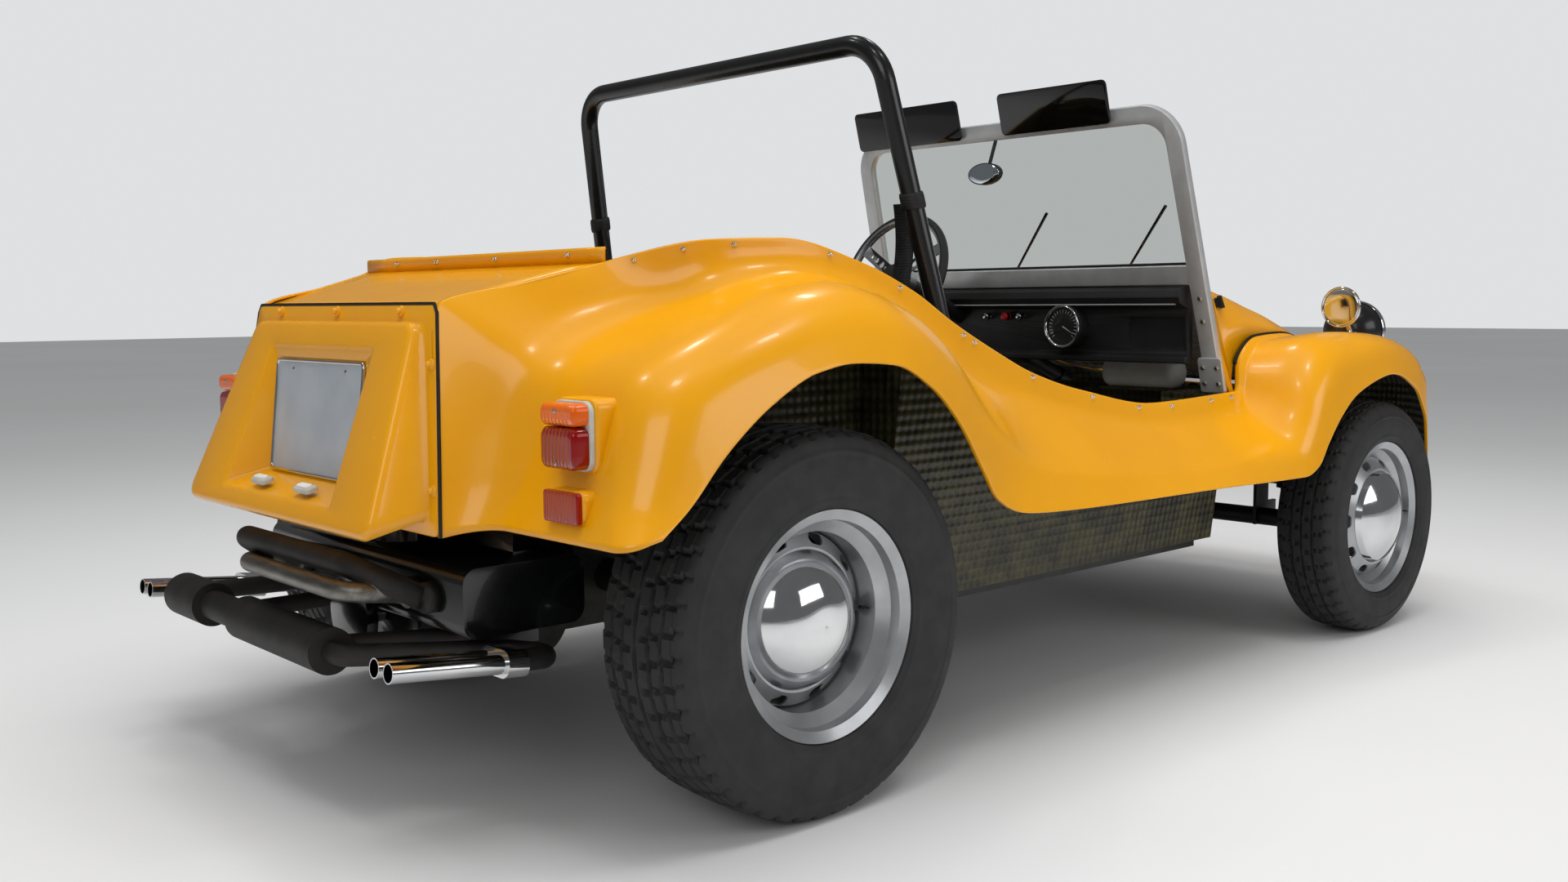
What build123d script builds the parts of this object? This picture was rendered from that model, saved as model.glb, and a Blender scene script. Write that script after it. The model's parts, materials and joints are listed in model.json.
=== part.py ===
from build123d import *
from math import cos, radians, sin, sqrt, tan
import os

os.makedirs("parts", exist_ok=True)

# Millimetres: X forward, Y left, Z up, origin on the floor midway between the axles
wheelbase = 2100
front_axle_x = wheelbase / 2
rear_axle_x = -wheelbase / 2
nose_x, tail_x = 1730, -1730
fit_gap = 0.4
seat_gap = 0.3

# Body moulding
gelcoat_wall = 5
coaming_hem = 12

# Body side, from the tail seam to the front arch: coaming edge, lip of the arch or sill,
# then crease and knee as distance below the coaming edge and half width, and the knee's radius
side_columns = ("top_x", "top_z", "top_w", "lip_x", "lip_z", "lip_w",
                "crease_s", "crease_w", "knee_s", "knee_w", "knee_r")
side_stations = [
    (-1609, 530, 430, -1470, 560, 850, 70, 462, 74, 842, 65),
    (-1596, 640, 412, -1418, 600, 850, 96, 452, 96, 812, 130),
    (-1567, 913, 368, -1340, 680, 850, 170, 492, 176, 808, 140),
    (-1420, 952, 410, -1247, 750, 850, 117, 470, 132, 812, 160),
    (-1300, 983, 452, -1148, 797, 850, 94, 530, 116, 806, 170),
    (-1160, 1024, 585, -1060, 810, 850, 80, 600, 104, 800, 190),
    (-1010, 1029, 618, -965, 804, 850, 63, 622, 90, 800, 190),
    (-830, 990, 628, -868, 762, 848, 55, 640, 92, 798, 180),
    (-680, 932, 634, -785, 690, 845, 73, 644, 121, 795, 160),
    (-570, 872, 636, -718, 604, 840, 86, 644, 163, 790, 150),
    (-445, 815, 634, -662, 537, 836, 78, 644, 218, 785, 140),
    (-300, 758, 630, -580, 505, 832, 68, 644, 258, 785, 120),
    (-130, 715, 626, -400, 492, 822, 62, 642, 251, 780, 100),
    (200, 667, 618, 200, 477, 800, 52, 640, 150, 764, 100),
    (520, 674, 608, 590, 468, 795, 62, 628, 155, 765, 100),
    (612, 676, 586, 655, 488, 794, 22, 602, 72, 770, 110),
    (655, 757, 566, 705, 544, 793, 20, 582, 50, 770, 120),
    (760, 812, 556, 775, 611, 792, 8, 566, -2, 765, 130),
    (900, 818, 552, 866, 664, 790, 10, 562, -22, 760, 120),
    (1060, 784, 550, 1060, 706, 788, 8, 560, -54, 755, 90),
    (1230, 736, 545, 1210, 664, 785, 8, 555, -88, 750, 90),
    (1340, 702, 535, 1296, 580, 780, 8, 545, -75, 742, 100),
    (1385, 690, 528, 1385, 400, 748, 8, 540, -58, 722, 110),
]

# Nose, fanned about an upright line at the front corner and then moved to the centre line:
# half width of the fold, its x, turn in degrees, top edge height, knee and lip as distance and height
nose_columns = ("fold_w", "fold_x", "turn", "top_d", "top_z", "knee_d", "knee_z", "lip_d", "lip_z", "knee_r")
nose_stations = [
    (514, 1385, 0, 14, 690, 208, 748, 234, 400, 110),
    (514, 1385, 30, 14, 690, 164, 734, 174, 400, 90),
    (514, 1385, 60, 14, 690, 130, 712, 126, 398, 80),
    (514, 1385, 90, 14, 690, 124, 690, 120, 396, 80),
    (300, 1456, 90, 14, 650, 112, 645, 102, 390, 70),
    (0, 1496, 90, 14, 632, 110, 620, 94, 386, 60),
]

# Bonnet: seam point, centre point of the crown, shoulder corner (half width, share of the rise, radius)
bonnet_columns = ("seam_x", "seam_z", "seam_w", "top_x", "top_z", "shoulder_w", "shoulder_share", "shoulder_r")
bonnet_stations = [
    (604, 676, 568, 620, 962, 497, 0.94, 60),
    (655, 757, 548, 668, 952, 486, 0.92, 55),
    (760, 812, 538, 770, 930, 468, 0.88, 50),
    (900, 818, 534, 905, 896, 455, 0.82, 45),
    (1060, 784, 532, 1062, 846, 455, 0.80, 40),
    (1230, 736, 527, 1231, 786, 455, 0.78, 35),
    (1385, 690, 510, 1386, 722, 440, 0.76, 25),
    (1440, 669, 345, 1441, 694, 290, 0.76, 18),
    (1474, 654, 190, 1475, 670, 140, 0.76, 12),
    (1490, 648, 60, 1491, 657, 40, 0.76, 5),
]

def corner_round(before, corner, after, radius):
    """Return start, middle and end of an arc that rounds a corner, shortened if a leg is short."""
    a, c, b = Vector(*before), Vector(*corner), Vector(*after)
    to_a, to_b = (a - c), (b - c)
    length_a, length_b = to_a.length, to_b.length
    u, v = to_a / length_a, to_b / length_b
    half = radians(u.get_angle(v)) / 2
    run = min(radius / tan(half), 0.9 * length_a, 0.9 * length_b)
    real_radius = run * tan(half)
    bisector = (u + v) / (u + v).length
    centre = c + bisector * (run / cos(half))
    return c + u * run, centre - bisector * real_radius, c + v * run


def offset_line(points, distance):
    """Shift an open chain of points to its right by a distance, keeping its corners."""
    normals = []
    for p, q in zip(points, points[1:]):
        length = sqrt((q[0] - p[0]) ** 2 + (q[1] - p[1]) ** 2)
        normals.append(((q[1] - p[1]) / length, -(q[0] - p[0]) / length))
    out = [(points[0][0] + normals[0][0] * distance, points[0][1] + normals[0][1] * distance)]
    for i in range(1, len(points) - 1):
        (ax, ay), (bx, by) = normals[i - 1], normals[i]
        k = distance / (1 + ax * bx + ay * by)
        out.append((points[i][0] + (ax + bx) * k, points[i][1] + (ay + by) * k))
    out.append((points[-1][0] + normals[-1][0] * distance, points[-1][1] + normals[-1][1] * distance))
    return out


def fender_point(row, half_width):
    """Point of the fender's straight stretch between crease and knee in a row of the side table."""
    top_x, top_z, top_w, lip_x, lip_z, lip_w, crease_s, crease_w, knee_s, knee_w, knee_r = row
    length = sqrt((lip_x - top_x) ** 2 + (lip_z - top_z) ** 2)
    down = crease_s + (knee_s - crease_s) * (half_width - crease_w) / (knee_w - crease_w)
    return Vector(top_x + (lip_x - top_x) * down / length, half_width, top_z + (lip_z - top_z) * down / length)


def point_at_height(low, high, z):
    """Point on the line through two points at a height."""
    return low + (high - low) * ((z - low.Z) / (high.Z - low.Z))


def band_sketch(plane, top, crease, knee, lip, radius):
    """Closed section of the moulding on a plane: outer line, lip, the inner line one wall in, and the hem."""
    inner = offset_line([top, crease, knee, lip], gelcoat_wall)
    start, middle, end = corner_round(crease, knee, lip, radius)
    in_start, in_middle, in_end = corner_round(inner[1], inner[2], inner[3], radius - gelcoat_wall)
    share = gelcoat_wall / max(crease[0] - top[0], 2 * gelcoat_wall)
    heel = (top[0] + gelcoat_wall, inner[0][1] + share * (inner[1][1] - inner[0][1]))
    hem_low = (top[0] + gelcoat_wall, top[1] - coaming_hem)
    hem_high = (top[0], top[1] - coaming_hem)
    with BuildSketch(plane) as band:
        with BuildLine():
            Line(top, crease)
            Line(crease, start)
            ThreePointArc(start, middle, end)
            Line(end, lip)
            Line(lip, inner[3])
            Line(inner[3], in_end)
            ThreePointArc(in_end, in_middle, in_start)
            Line(in_start, inner[1])
            Line(inner[1], heel)
            Line(heel, hem_low)
            Line(hem_low, hem_high)
            Line(hem_high, top)
        make_face()
    return band.sketch.faces()[0]


def station_plane(top_x, top_z, lip_x, lip_z):
    """Plane through the coaming edge and the lip that holds the Y direction: local x runs down, y outboard."""
    length = sqrt((lip_x - top_x) ** 2 + (lip_z - top_z) ** 2)
    down_x, down_z = (lip_x - top_x) / length, (lip_z - top_z) / length
    return Plane(origin=(top_x, 0, top_z), x_dir=(down_x, 0, down_z), z_dir=(down_z, 0, -down_x)), length


side_bands = []
for top_x, top_z, top_w, lip_x, lip_z, lip_w, crease_s, crease_w, knee_s, knee_w, knee_r in side_stations:
    plane, depth = station_plane(top_x, top_z, lip_x, lip_z)
    side_bands.append(band_sketch(plane, (0, top_w), (crease_s, crease_w), (knee_s, knee_w), (depth, lip_w),
                                  knee_r))

nose_bands = []
for fold_w, fold_x, turn, top_d, top_z, knee_d, knee_z, lip_d, lip_z, knee_r in nose_stations:
    outward = (sin(radians(turn)), -cos(radians(turn)))
    plane = Plane(origin=(fold_x, -fold_w, top_z), x_dir=(0, 0, -1), z_dir=(outward[1], -outward[0], 0))
    knee = (top_z - knee_z, knee_d)
    nose_bands.append(band_sketch(plane, (0, top_d), (8, top_d + 12), knee, (top_z - lip_z, lip_d), knee_r))

# Scuttle between the windscreen and the bonnet, and the tail deck with its rear coaming
scuttle_stations = [
    (572, 668, 588, 500, 972, 505, 0.94, 60),
    (598, 668, 582, 614, 964, 498, 0.94, 60),
]
deck_front_x, deck_front_z, deck_front_w = -1290, 985, 452
deck_rear_x, deck_rear_z, deck_rear_w = -1567, 913, 366
rear_coaming_height = 28
tail_foot_x, tail_foot_z, tail_foot_w = -1609, 530, 430


def hood_sketch(seam_x, seam_z, seam_w, top_x, top_z, shoulder_w, shoulder_share, shoulder_r):
    """Closed section of a hood across the car: side, shoulder arc and crown arc, and the same a wall lower."""
    rise = sqrt((top_x - seam_x) ** 2 + (top_z - seam_z) ** 2)
    up_x, up_z = (top_x - seam_x) / rise, (top_z - seam_z) / rise
    plane = Plane(origin=(seam_x, 0, seam_z), x_dir=(up_x, 0, up_z), z_dir=(up_z, 0, -up_x))
    shoulder = (rise * shoulder_share, shoulder_w)
    inner = offset_line([(0, seam_w), shoulder, (rise, 0)], gelcoat_wall)
    start, middle, end = corner_round((0, seam_w), shoulder, (rise, 0), shoulder_r)
    in_start, in_middle, in_end = corner_round(inner[0], inner[1], (rise - gelcoat_wall, 0),
                                               max(shoulder_r - gelcoat_wall, 1))
    with BuildSketch(plane) as hood:
        with BuildLine():
            Line((0, seam_w), start)
            ThreePointArc(start, middle, end)
            ThreePointArc(end, (rise, 0), (end.X, -end.Y))
            ThreePointArc((end.X, -end.Y), (middle.X, -middle.Y), (start.X, -start.Y))
            Line((start.X, -start.Y), (0, -seam_w))
            Line((0, -seam_w), (inner[0][0], -inner[0][1]))
            Line((inner[0][0], -inner[0][1]), (in_start.X, -in_start.Y))
            ThreePointArc((in_start.X, -in_start.Y), (in_middle.X, -in_middle.Y), (in_end.X, -in_end.Y))
            ThreePointArc((in_end.X, -in_end.Y), (rise - gelcoat_wall, 0), in_end)
            ThreePointArc(in_end, in_middle, in_start)
            Line(in_start, inner[0])
            Line(inner[0], (0, seam_w))
        make_face()
    return hood.sketch.faces()[0]


with BuildPart() as scuttle:
    loft(sections=[hood_sketch(*row) for row in scuttle_stations], ruled=True)

deck_length = sqrt((deck_front_x - deck_rear_x) ** 2 + (deck_front_z - deck_rear_z) ** 2)
deck_rise = (deck_front_z - deck_rear_z) / deck_length
deck_run = (deck_front_x - deck_rear_x) / deck_length
deck_plane = Plane(origin=(deck_rear_x, 0, deck_rear_z), x_dir=(0, -1, 0), z_dir=(-deck_rise, 0, deck_run))

# Upright pads on the tail of each fender: table rows below and above, half width, height and size
tail_pad_columns = ("low_row", "high_row", "half_width", "height", "width", "tall", "face_x")
tail_lamp_pad = (1, 2, 662, 708, 112, 118, -1497)
reflector_pad = (0, 1, 674, 599, 98, 54, -1528)


def tail_pad(low_row, high_row, half_width, height, width, tall, face_x):
    """Wedge that turns the sloping tail of the left fender into an upright seat for a lamp."""
    low, high = (fender_point(side_stations[row], half_width) for row in (low_row, high_row))
    foot = point_at_height(low, high, height - tall / 2)
    head = point_at_height(low, high, height + tall / 2)
    with BuildPart() as pad:
        with BuildSketch(Plane.XZ.offset(-half_width)):
            with BuildLine():
                Polyline((face_x, foot.Z), (foot.X + gelcoat_wall / 2, foot.Z),
                         (head.X + gelcoat_wall / 2, head.Z),
                         (face_x, head.Z), close=True)
            make_face()
        extrude(amount=width / 2, both=True)
        fillet(pad.faces().sort_by(Axis.X)[0].edges(), radius=3)
    return pad.part


with BuildPart() as body_shell:
    loft(sections=side_bands, ruled=True)
    loft(sections=nose_bands, ruled=True)
    for pad_row in (tail_lamp_pad, reflector_pad):
        add(mirror(tail_pad(*pad_row), about=Plane.XZ, mode=Mode.PRIVATE))
    mirror(about=Plane.XZ)
    add(scuttle.part)
    with BuildSketch(deck_plane):
        with BuildLine():
            Polyline((-deck_rear_w, 0), (deck_rear_w, 0), (deck_front_w, deck_length),
                     (-deck_front_w, deck_length), close=True)
        make_face()
    extrude(amount=-gelcoat_wall)
    with BuildSketch(Plane.YZ.offset(deck_front_x)):
        with Locations((0, deck_front_z - gelcoat_wall)):
            Rectangle(2 * deck_front_w, rear_coaming_height + gelcoat_wall, align=(Align.CENTER, Align.MIN))
    extrude(amount=gelcoat_wall)
body_shell.part.label = "body_shell"
export_step(body_shell.part, "parts/body_shell.step")

with BuildPart() as bonnet:
    loft(sections=[hood_sketch(*row) for row in bonnet_stations], ruled=True)
bonnet.part.label = "bonnet"
export_step(bonnet.part, "parts/bonnet.step")

# Engine cover: a bolted raised panel with a number plate recess
cover_low_depth, cover_high_depth = 117, 27
cover_low_rise, cover_high_drop = 8, 28
cover_low_taper, cover_high_taper = 36, 41
cover_face_low_x, cover_face_low_z = tail_foot_x - cover_low_depth, tail_foot_z + cover_low_rise
cover_face_high_x, cover_face_high_z = deck_rear_x - cover_high_depth, deck_rear_z - cover_high_drop
cover_face_low_w, cover_face_high_w = tail_foot_w - cover_low_taper, deck_rear_w - cover_high_taper
cover_seam_gap = 1
recess_low_w, recess_high_w = 192, 188
plate_depth, recess_floor, recess_roof = 30, 62, 284
mouth_low_w, mouth_high_w, mouth_low, mouth_high = 232, 210, 35, 320
flange_slope = Vector(deck_rear_x - tail_foot_x, 0, deck_rear_z - tail_foot_z).normalized()
seam_plane = Plane(origin=(tail_foot_x - cover_seam_gap, 0, tail_foot_z), x_dir=(0, -1, 0),
                   z_dir=(-flange_slope.Z, 0, flange_slope.X))
flange_height = sqrt((deck_rear_x - tail_foot_x) ** 2 + (deck_rear_z - tail_foot_z) ** 2)
face_slope = Vector(cover_face_high_x - cover_face_low_x, 0, cover_face_high_z - cover_face_low_z).normalized()
face_plane = Plane(origin=(cover_face_low_x, 0, cover_face_low_z), x_dir=(0, -1, 0),
                   z_dir=(-face_slope.Z, 0, face_slope.X))
face_height = sqrt((cover_face_high_x - cover_face_low_x) ** 2 + (cover_face_high_z - cover_face_low_z) ** 2)


def trapezoid(plane, low_w, high_w, low, high):
    """Upright trapezoid on a tilted plane, as a face."""
    with BuildSketch(plane) as shape:
        with BuildLine():
            Polyline((-low_w, low), (low_w, low), (high_w, high), (-high_w, high), close=True)
        make_face()
    return shape.sketch.faces()[0]


cover_low_w = tail_foot_w - 2
cover_high_w = deck_rear_w - 2
with BuildPart() as engine_cover:
    loft(sections=[trapezoid(seam_plane, cover_low_w, cover_high_w, 0, flange_height),
                   trapezoid(face_plane, cover_face_low_w, cover_face_high_w, 0, face_height)], ruled=True)
    wall = gelcoat_wall
    loft(sections=[trapezoid(seam_plane.offset(-1), cover_low_w - 25, cover_high_w - 25, 25,
                             flange_height - 25),
                   trapezoid(face_plane.offset(-wall), cover_face_low_w - wall, cover_face_high_w - wall,
                             wall, face_height - wall)], ruled=True, mode=Mode.SUBTRACT)
    loft(sections=[trapezoid(seam_plane.offset(plate_depth - wall), recess_low_w + wall, recess_high_w + wall,
                             recess_floor - wall, recess_roof + wall),
                   trapezoid(face_plane.offset(-1), mouth_low_w + wall, mouth_high_w + wall,
                             mouth_low - wall, mouth_high + wall)], ruled=True)
    loft(sections=[trapezoid(seam_plane.offset(plate_depth), recess_low_w, recess_high_w, recess_floor,
                             recess_roof),
                   trapezoid(face_plane.offset(1), mouth_low_w, mouth_high_w, mouth_low, mouth_high)],
         ruled=True, mode=Mode.SUBTRACT)
engine_cover.part.label = "engine_cover"
export_step(engine_cover.part, "parts/engine_cover.step")

# Number plate and its lamps
plate_w, plate_h, plate_t = 180, 207, 3
plate_low = 70
with BuildPart() as number_plate:
    with BuildSketch(seam_plane.offset(plate_depth + fit_gap)):
        with Locations((0, plate_low + plate_h / 2)):
            RectangleRounded(2 * plate_w, plate_h, 8)
    extrude(amount=plate_t)
number_plate.part.label = "number_plate"
export_step(number_plate.part, "parts/number_plate.step")

# Cockpit tub
tub_wall = 5
hem_clearance = 1.4
cabin_rear_x, cabin_front_x = -690, 556
cabin_floor_z = 292
cabin_low_w, cabin_high_w, tub_top_z = 548, 640, 1060
rear_well_x, rear_well_w, rear_floor_z = -1110, 488, 560
shelf_z, shelf_w, shelf_rear_x = 800, 574, -1282
footwell_front_x, footwell_w, footwell_top_z = 850, 400, 830
bottle_x, bottle_y, bottle_length, bottle_w, bottle_h = 700, -241, 233, 96, 86
bottle_ledge_z, bottle_ledge = 666, 60


def cabin_box(inset, front_x):
    """Room of the cabin, its walls moved in by an inset, up to a front x."""
    with BuildPart() as box:
        with BuildSketch(Plane.YZ.offset(cabin_rear_x + inset)):
            with BuildLine():
                Polyline((-cabin_low_w + inset, cabin_floor_z + inset),
                         (cabin_low_w - inset, cabin_floor_z + inset),
                         (cabin_high_w - inset, tub_top_z), (-cabin_high_w + inset, tub_top_z), close=True)
            make_face()
        extrude(amount=front_x - cabin_rear_x - 2 * inset)
    return box.part


def block(x0, x1, half_w, z0, z1):
    """Box between two x and two z, as wide to the left as to the right."""
    return Pos((x0 + x1) / 2, 0, (z0 + z1) / 2) * Box(x1 - x0, 2 * half_w, z1 - z0, mode=Mode.PRIVATE)


def shelf_box(inset):
    """Upper rear of the tub, over the wheel arches, with its rear corners cut in to the tail."""
    front_x = cabin_rear_x + 2 * inset
    corner_w, corner_x = shelf_w - 140, shelf_rear_x + 150
    with BuildPart() as box:
        with BuildSketch(Plane.XY.offset(shelf_z + inset)):
            with BuildLine():
                Polyline((front_x, inset - shelf_w), (corner_x, inset - shelf_w),
                         (shelf_rear_x + inset, inset - corner_w), (shelf_rear_x + inset, corner_w - inset),
                         (corner_x, shelf_w - inset), (front_x, shelf_w - inset), close=True)
            make_face()
        extrude(amount=tub_top_z - shelf_z)
    return box.part


def footwell(inset, rear_x):
    """Room of the front footwell, its walls moved in by an inset, from a rear x forward."""
    with BuildPart() as well:
        with BuildSketch(Plane.XZ):
            with BuildLine():
                Polyline((rear_x, cabin_floor_z + inset), (footwell_front_x - 170, cabin_floor_z + inset),
                         (footwell_front_x - inset, cabin_floor_z + 190),
                         (footwell_front_x - inset, footwell_top_z - inset),
                         (rear_x, footwell_top_z - inset), close=True)
            make_face()
        extrude(amount=footwell_w - inset, both=True)
    return well.part


def coaming_cut():
    """Everything above the line that runs just under the coaming's hem."""
    gap = gelcoat_wall + hem_clearance
    points = [(row[0], row[1] - gap) for row in side_stations[4:15]]
    with BuildPart() as cut:
        with BuildSketch(Plane.XZ):
            with BuildLine():
                Polyline(*[(points[0][0] - 200, points[0][1])], *points, (points[-1][0] + 500, points[-1][1]),
                         (points[-1][0] + 500, 1500), (points[0][0] - 200, 1500), close=True)
            make_face()
        extrude(amount=900, both=True)
    return cut.part


with BuildPart() as cockpit_tub:
    add(cabin_box(0, cabin_front_x))
    add(block(rear_well_x, cabin_rear_x, rear_well_w, rear_floor_z, tub_top_z))
    add(shelf_box(0))
    add(footwell(0, cabin_front_x))
    add(cabin_box(tub_wall, cabin_front_x), mode=Mode.SUBTRACT)
    add(block(rear_well_x + tub_wall, cabin_rear_x + 2 * tub_wall, rear_well_w - tub_wall,
              rear_floor_z + tub_wall, tub_top_z), mode=Mode.SUBTRACT)
    add(shelf_box(tub_wall), mode=Mode.SUBTRACT)
    add(footwell(tub_wall, cabin_front_x - 2 * tub_wall), mode=Mode.SUBTRACT)
    add(coaming_cut(), mode=Mode.SUBTRACT)
    with Locations(((bottle_x - bottle_ledge / 2 + footwell_front_x - tub_wall) / 2, bottle_y, bottle_ledge_z)):
        Box(footwell_front_x - tub_wall - bottle_x + bottle_ledge / 2 + 2, bottle_length + 20, tub_wall,
            align=(Align.CENTER, Align.CENTER, Align.MAX))

# Windscreen
screen_foot_x, screen_foot_z = 548, 675
screen_lean = 0.2524
screen_height = 724
screen_low_w, screen_high_w = 563, 528
screen_member = 46
screen_depth = 22
screen_bar_mid, screen_bar = 311, 50
screen_corner = 110
glass_t = 5
screen_up = Vector(-screen_lean, 0, sqrt(1 - screen_lean ** 2))
screen_plane = Plane(origin=(screen_foot_x, 0, screen_foot_z), x_dir=(0, 1, 0),
                     z_dir=(screen_up.Z, 0, -screen_up.X))


def screen_half_width(height):
    """Half width of the windscreen's centre line at a height along the leaning frame."""
    return screen_low_w + (screen_high_w - screen_low_w) * height / screen_height


def screen_outline(low, high, inset, corner):
    """Trapezoid of the leaning frame between two heights, inset from its centre line, round at the top."""
    low_w, high_w = screen_half_width(low) - inset, screen_half_width(high) - inset
    with BuildSketch(screen_plane) as outline:
        with BuildLine():
            Polyline((-low_w, low), (low_w, low), (high_w, high), (-high_w, high), close=True)
        make_face()
        fillet(outline.vertices().sort_by(Axis.Y)[-2:], radius=corner)
    return outline.sketch


half_member = screen_member / 2
glass_low = screen_bar_mid + screen_bar / 2
glass_high = screen_height - half_member
glass_corner = screen_corner - screen_member
with BuildPart() as windscreen_frame:
    extrude(screen_outline(-2.9, screen_height + half_member, -half_member, screen_corner),
            amount=screen_depth / 2,
            both=True)
    extrude(screen_outline(glass_low, glass_high, half_member, glass_corner), amount=screen_depth, both=True,
            mode=Mode.SUBTRACT)
    extrude(screen_outline(-4, screen_bar_mid - screen_bar / 2, half_member, 5), amount=screen_depth, both=True,
            mode=Mode.SUBTRACT)
windscreen_frame.part.label = "windscreen_frame"
export_step(windscreen_frame.part, "parts/windscreen_frame.step")

with BuildPart() as windscreen_glass:
    extrude(screen_outline(glass_low + fit_gap, glass_high - fit_gap, half_member + fit_gap,
                           glass_corner - fit_gap),
            amount=glass_t / 2, both=True)
windscreen_glass.part.label = "windscreen_glass"
export_step(windscreen_glass.part, "parts/windscreen_glass.step")

# Wipers: spindles on the front of the bar, both arms parked toward the right
wiper_pivots = (57, -318)
wiper_spindle_r, wiper_spindle_h = 11, 14
wiper_reach_y, wiper_reach = 150, 176
wiper_half_t = 3
wiper_lift = 6
with BuildPart() as wipers:
    for pivot_y in wiper_pivots:
        with BuildSketch(screen_plane.offset(screen_depth / 2 + seat_gap)):
            with Locations((pivot_y, screen_bar_mid)):
                Circle(wiper_spindle_r)
        extrude(amount=wiper_spindle_h)
        with BuildSketch(screen_plane.offset(screen_depth / 2 + seat_gap + wiper_lift)):
            with BuildLine():
                Polyline((pivot_y - wiper_half_t, screen_bar_mid), (pivot_y + wiper_half_t, screen_bar_mid),
                         (pivot_y - wiper_reach_y + wiper_half_t, screen_bar_mid + wiper_reach + 2),
                         (pivot_y - wiper_reach_y - wiper_half_t, screen_bar_mid + wiper_reach - 2), close=True)
            make_face()
        extrude(amount=wiper_lift - 1)
wipers.part.label = "wipers"
export_step(wipers.part, "parts/wipers.step")

# Sun visors: a tinted panel on each side behind the top rail, on two hinge blocks
visor_columns = ("low_y", "high_y")
visor_rows = ((-366, -15), (128, 526))
visor_height, visor_t, visor_corner = 112, 5, 14
visor_overlap = 34
visor_block_w, visor_block_h, visor_block_t = 30, 20, 8
visor_inset = 70
visor_back = screen_plane.offset(-screen_depth / 2 - seat_gap)
with BuildPart() as sun_visors:
    for low_y, high_y in visor_rows:
        foot = screen_height + half_member - visor_overlap
        with BuildSketch(visor_back):
            with Locations((low_y + visor_inset, foot + visor_block_h / 2), (high_y - visor_inset,
                                                                              foot + visor_block_h / 2)):
                Rectangle(visor_block_w, visor_block_h)
        extrude(amount=-visor_block_t)
        with BuildSketch(visor_back.offset(-visor_block_t)):
            with Locations(((low_y + high_y) / 2, foot + visor_height / 2)):
                RectangleRounded(high_y - low_y, visor_height, visor_corner)
        extrude(amount=-visor_t)
sun_visors.part.label = "sun_visors"
export_step(sun_visors.part, "parts/sun_visors.step")

# Interior mirror on a stem from the top rail
mirror_y = 21
inner_mirror_w, inner_mirror_h, inner_mirror_t = 111, 59, 14
inner_mirror_back, inner_mirror_drop = 36, 92
stem_r, stem_setback = 5, 10
rail_under = screen_plane.origin + screen_up * glass_high
stem_top = Vector(rail_under.X - stem_setback, mirror_y, rail_under.Z - stem_setback * screen_lean - stem_r / 5)
stem_end = stem_top - Vector(inner_mirror_back, 0, inner_mirror_drop)
with BuildPart() as interior_mirror:
    with BuildSketch(Plane.YZ.offset(stem_end.X)):
        with Locations((mirror_y, stem_end.Z)):
            Ellipse(inner_mirror_w / 2, inner_mirror_h / 2)
    extrude(amount=-inner_mirror_t)
    with BuildSketch(Plane(origin=stem_top, z_dir=stem_end - stem_top)):
        Circle(stem_r)
    extrude(amount=(stem_end - stem_top).length + 4)
interior_mirror.part.label = "interior_mirror"
export_step(interior_mirror.part, "parts/interior_mirror.step")

# Roll bar: foot, coaming height and shoulder on each side, one bent tube
roll_tube_r, roll_bend = 21, 90
roll_foot_lift = 3.3
roll_points = [(-520, 505, cabin_floor_z + tub_wall + roll_foot_lift), (-540, 580, 850), (-657, 507, 1431)]
with BuildPart() as roll_bar:
    with BuildLine() as roll_path:
        right = [(x, -y, z) for x, y, z in roll_points]
        FilletPolyline(*right, *reversed(roll_points), radius=roll_bend)
    with BuildSketch(Plane(origin=right[0], z_dir=Vector(*right[1]) - Vector(*right[0]))):
        Circle(roll_tube_r)
    sweep(path=roll_path.line)
roll_bar.part.label = "roll_bar"
export_step(roll_bar.part, "parts/roll_bar.step")

# Dashboard: moulding across the car under the windscreen bar, with a padded top roll,
# a tube-like pod for the speedometer and a shallow pocket before the passenger
dash_w = 515
dash_profile = [(456, 944), (441, 936), (436, 918), (444, 902), (482, 888), (488, 772), (470, 762), (470, 750),
                (500, 746), (505, 760), (504, 952.6)]
dash_face_x = 482
pod_y, pod_z, pod_r, pod_rear_x = -150, 841, 60, 446
dial_r, dial_recess, dial_t = 52, 8, 5
pocket_y, pocket_w, pocket_low_z, pocket_high_z, pocket_depth = -418, 170, 784, 866, 8
knob_rows = ((139, 9), (70, 11), (19, 9))
knob_z, knob_length = 868, 18
with BuildPart() as dashboard:
    with BuildSketch(Plane.XZ):
        with BuildLine():
            Polyline(*dash_profile, close=True)
        make_face()
    extrude(amount=dash_w, both=True)
    with BuildSketch(Plane.YZ.offset(pod_rear_x)):
        with Locations((pod_y, pod_z)):
            Circle(pod_r)
    extrude(amount=dash_face_x + 8 - pod_rear_x)
    with BuildSketch(Plane.YZ.offset(pod_rear_x)):
        with Locations((pod_y, pod_z)):
            Circle(dial_r)
    extrude(amount=dial_recess, mode=Mode.SUBTRACT)
    with BuildSketch(Plane.YZ.offset(dash_face_x - 4)):
        with Locations((pocket_y, (pocket_low_z + pocket_high_z) / 2)):
            RectangleRounded(pocket_w, pocket_high_z - pocket_low_z, 10)
    extrude(amount=pocket_depth + 4, mode=Mode.SUBTRACT)

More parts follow.
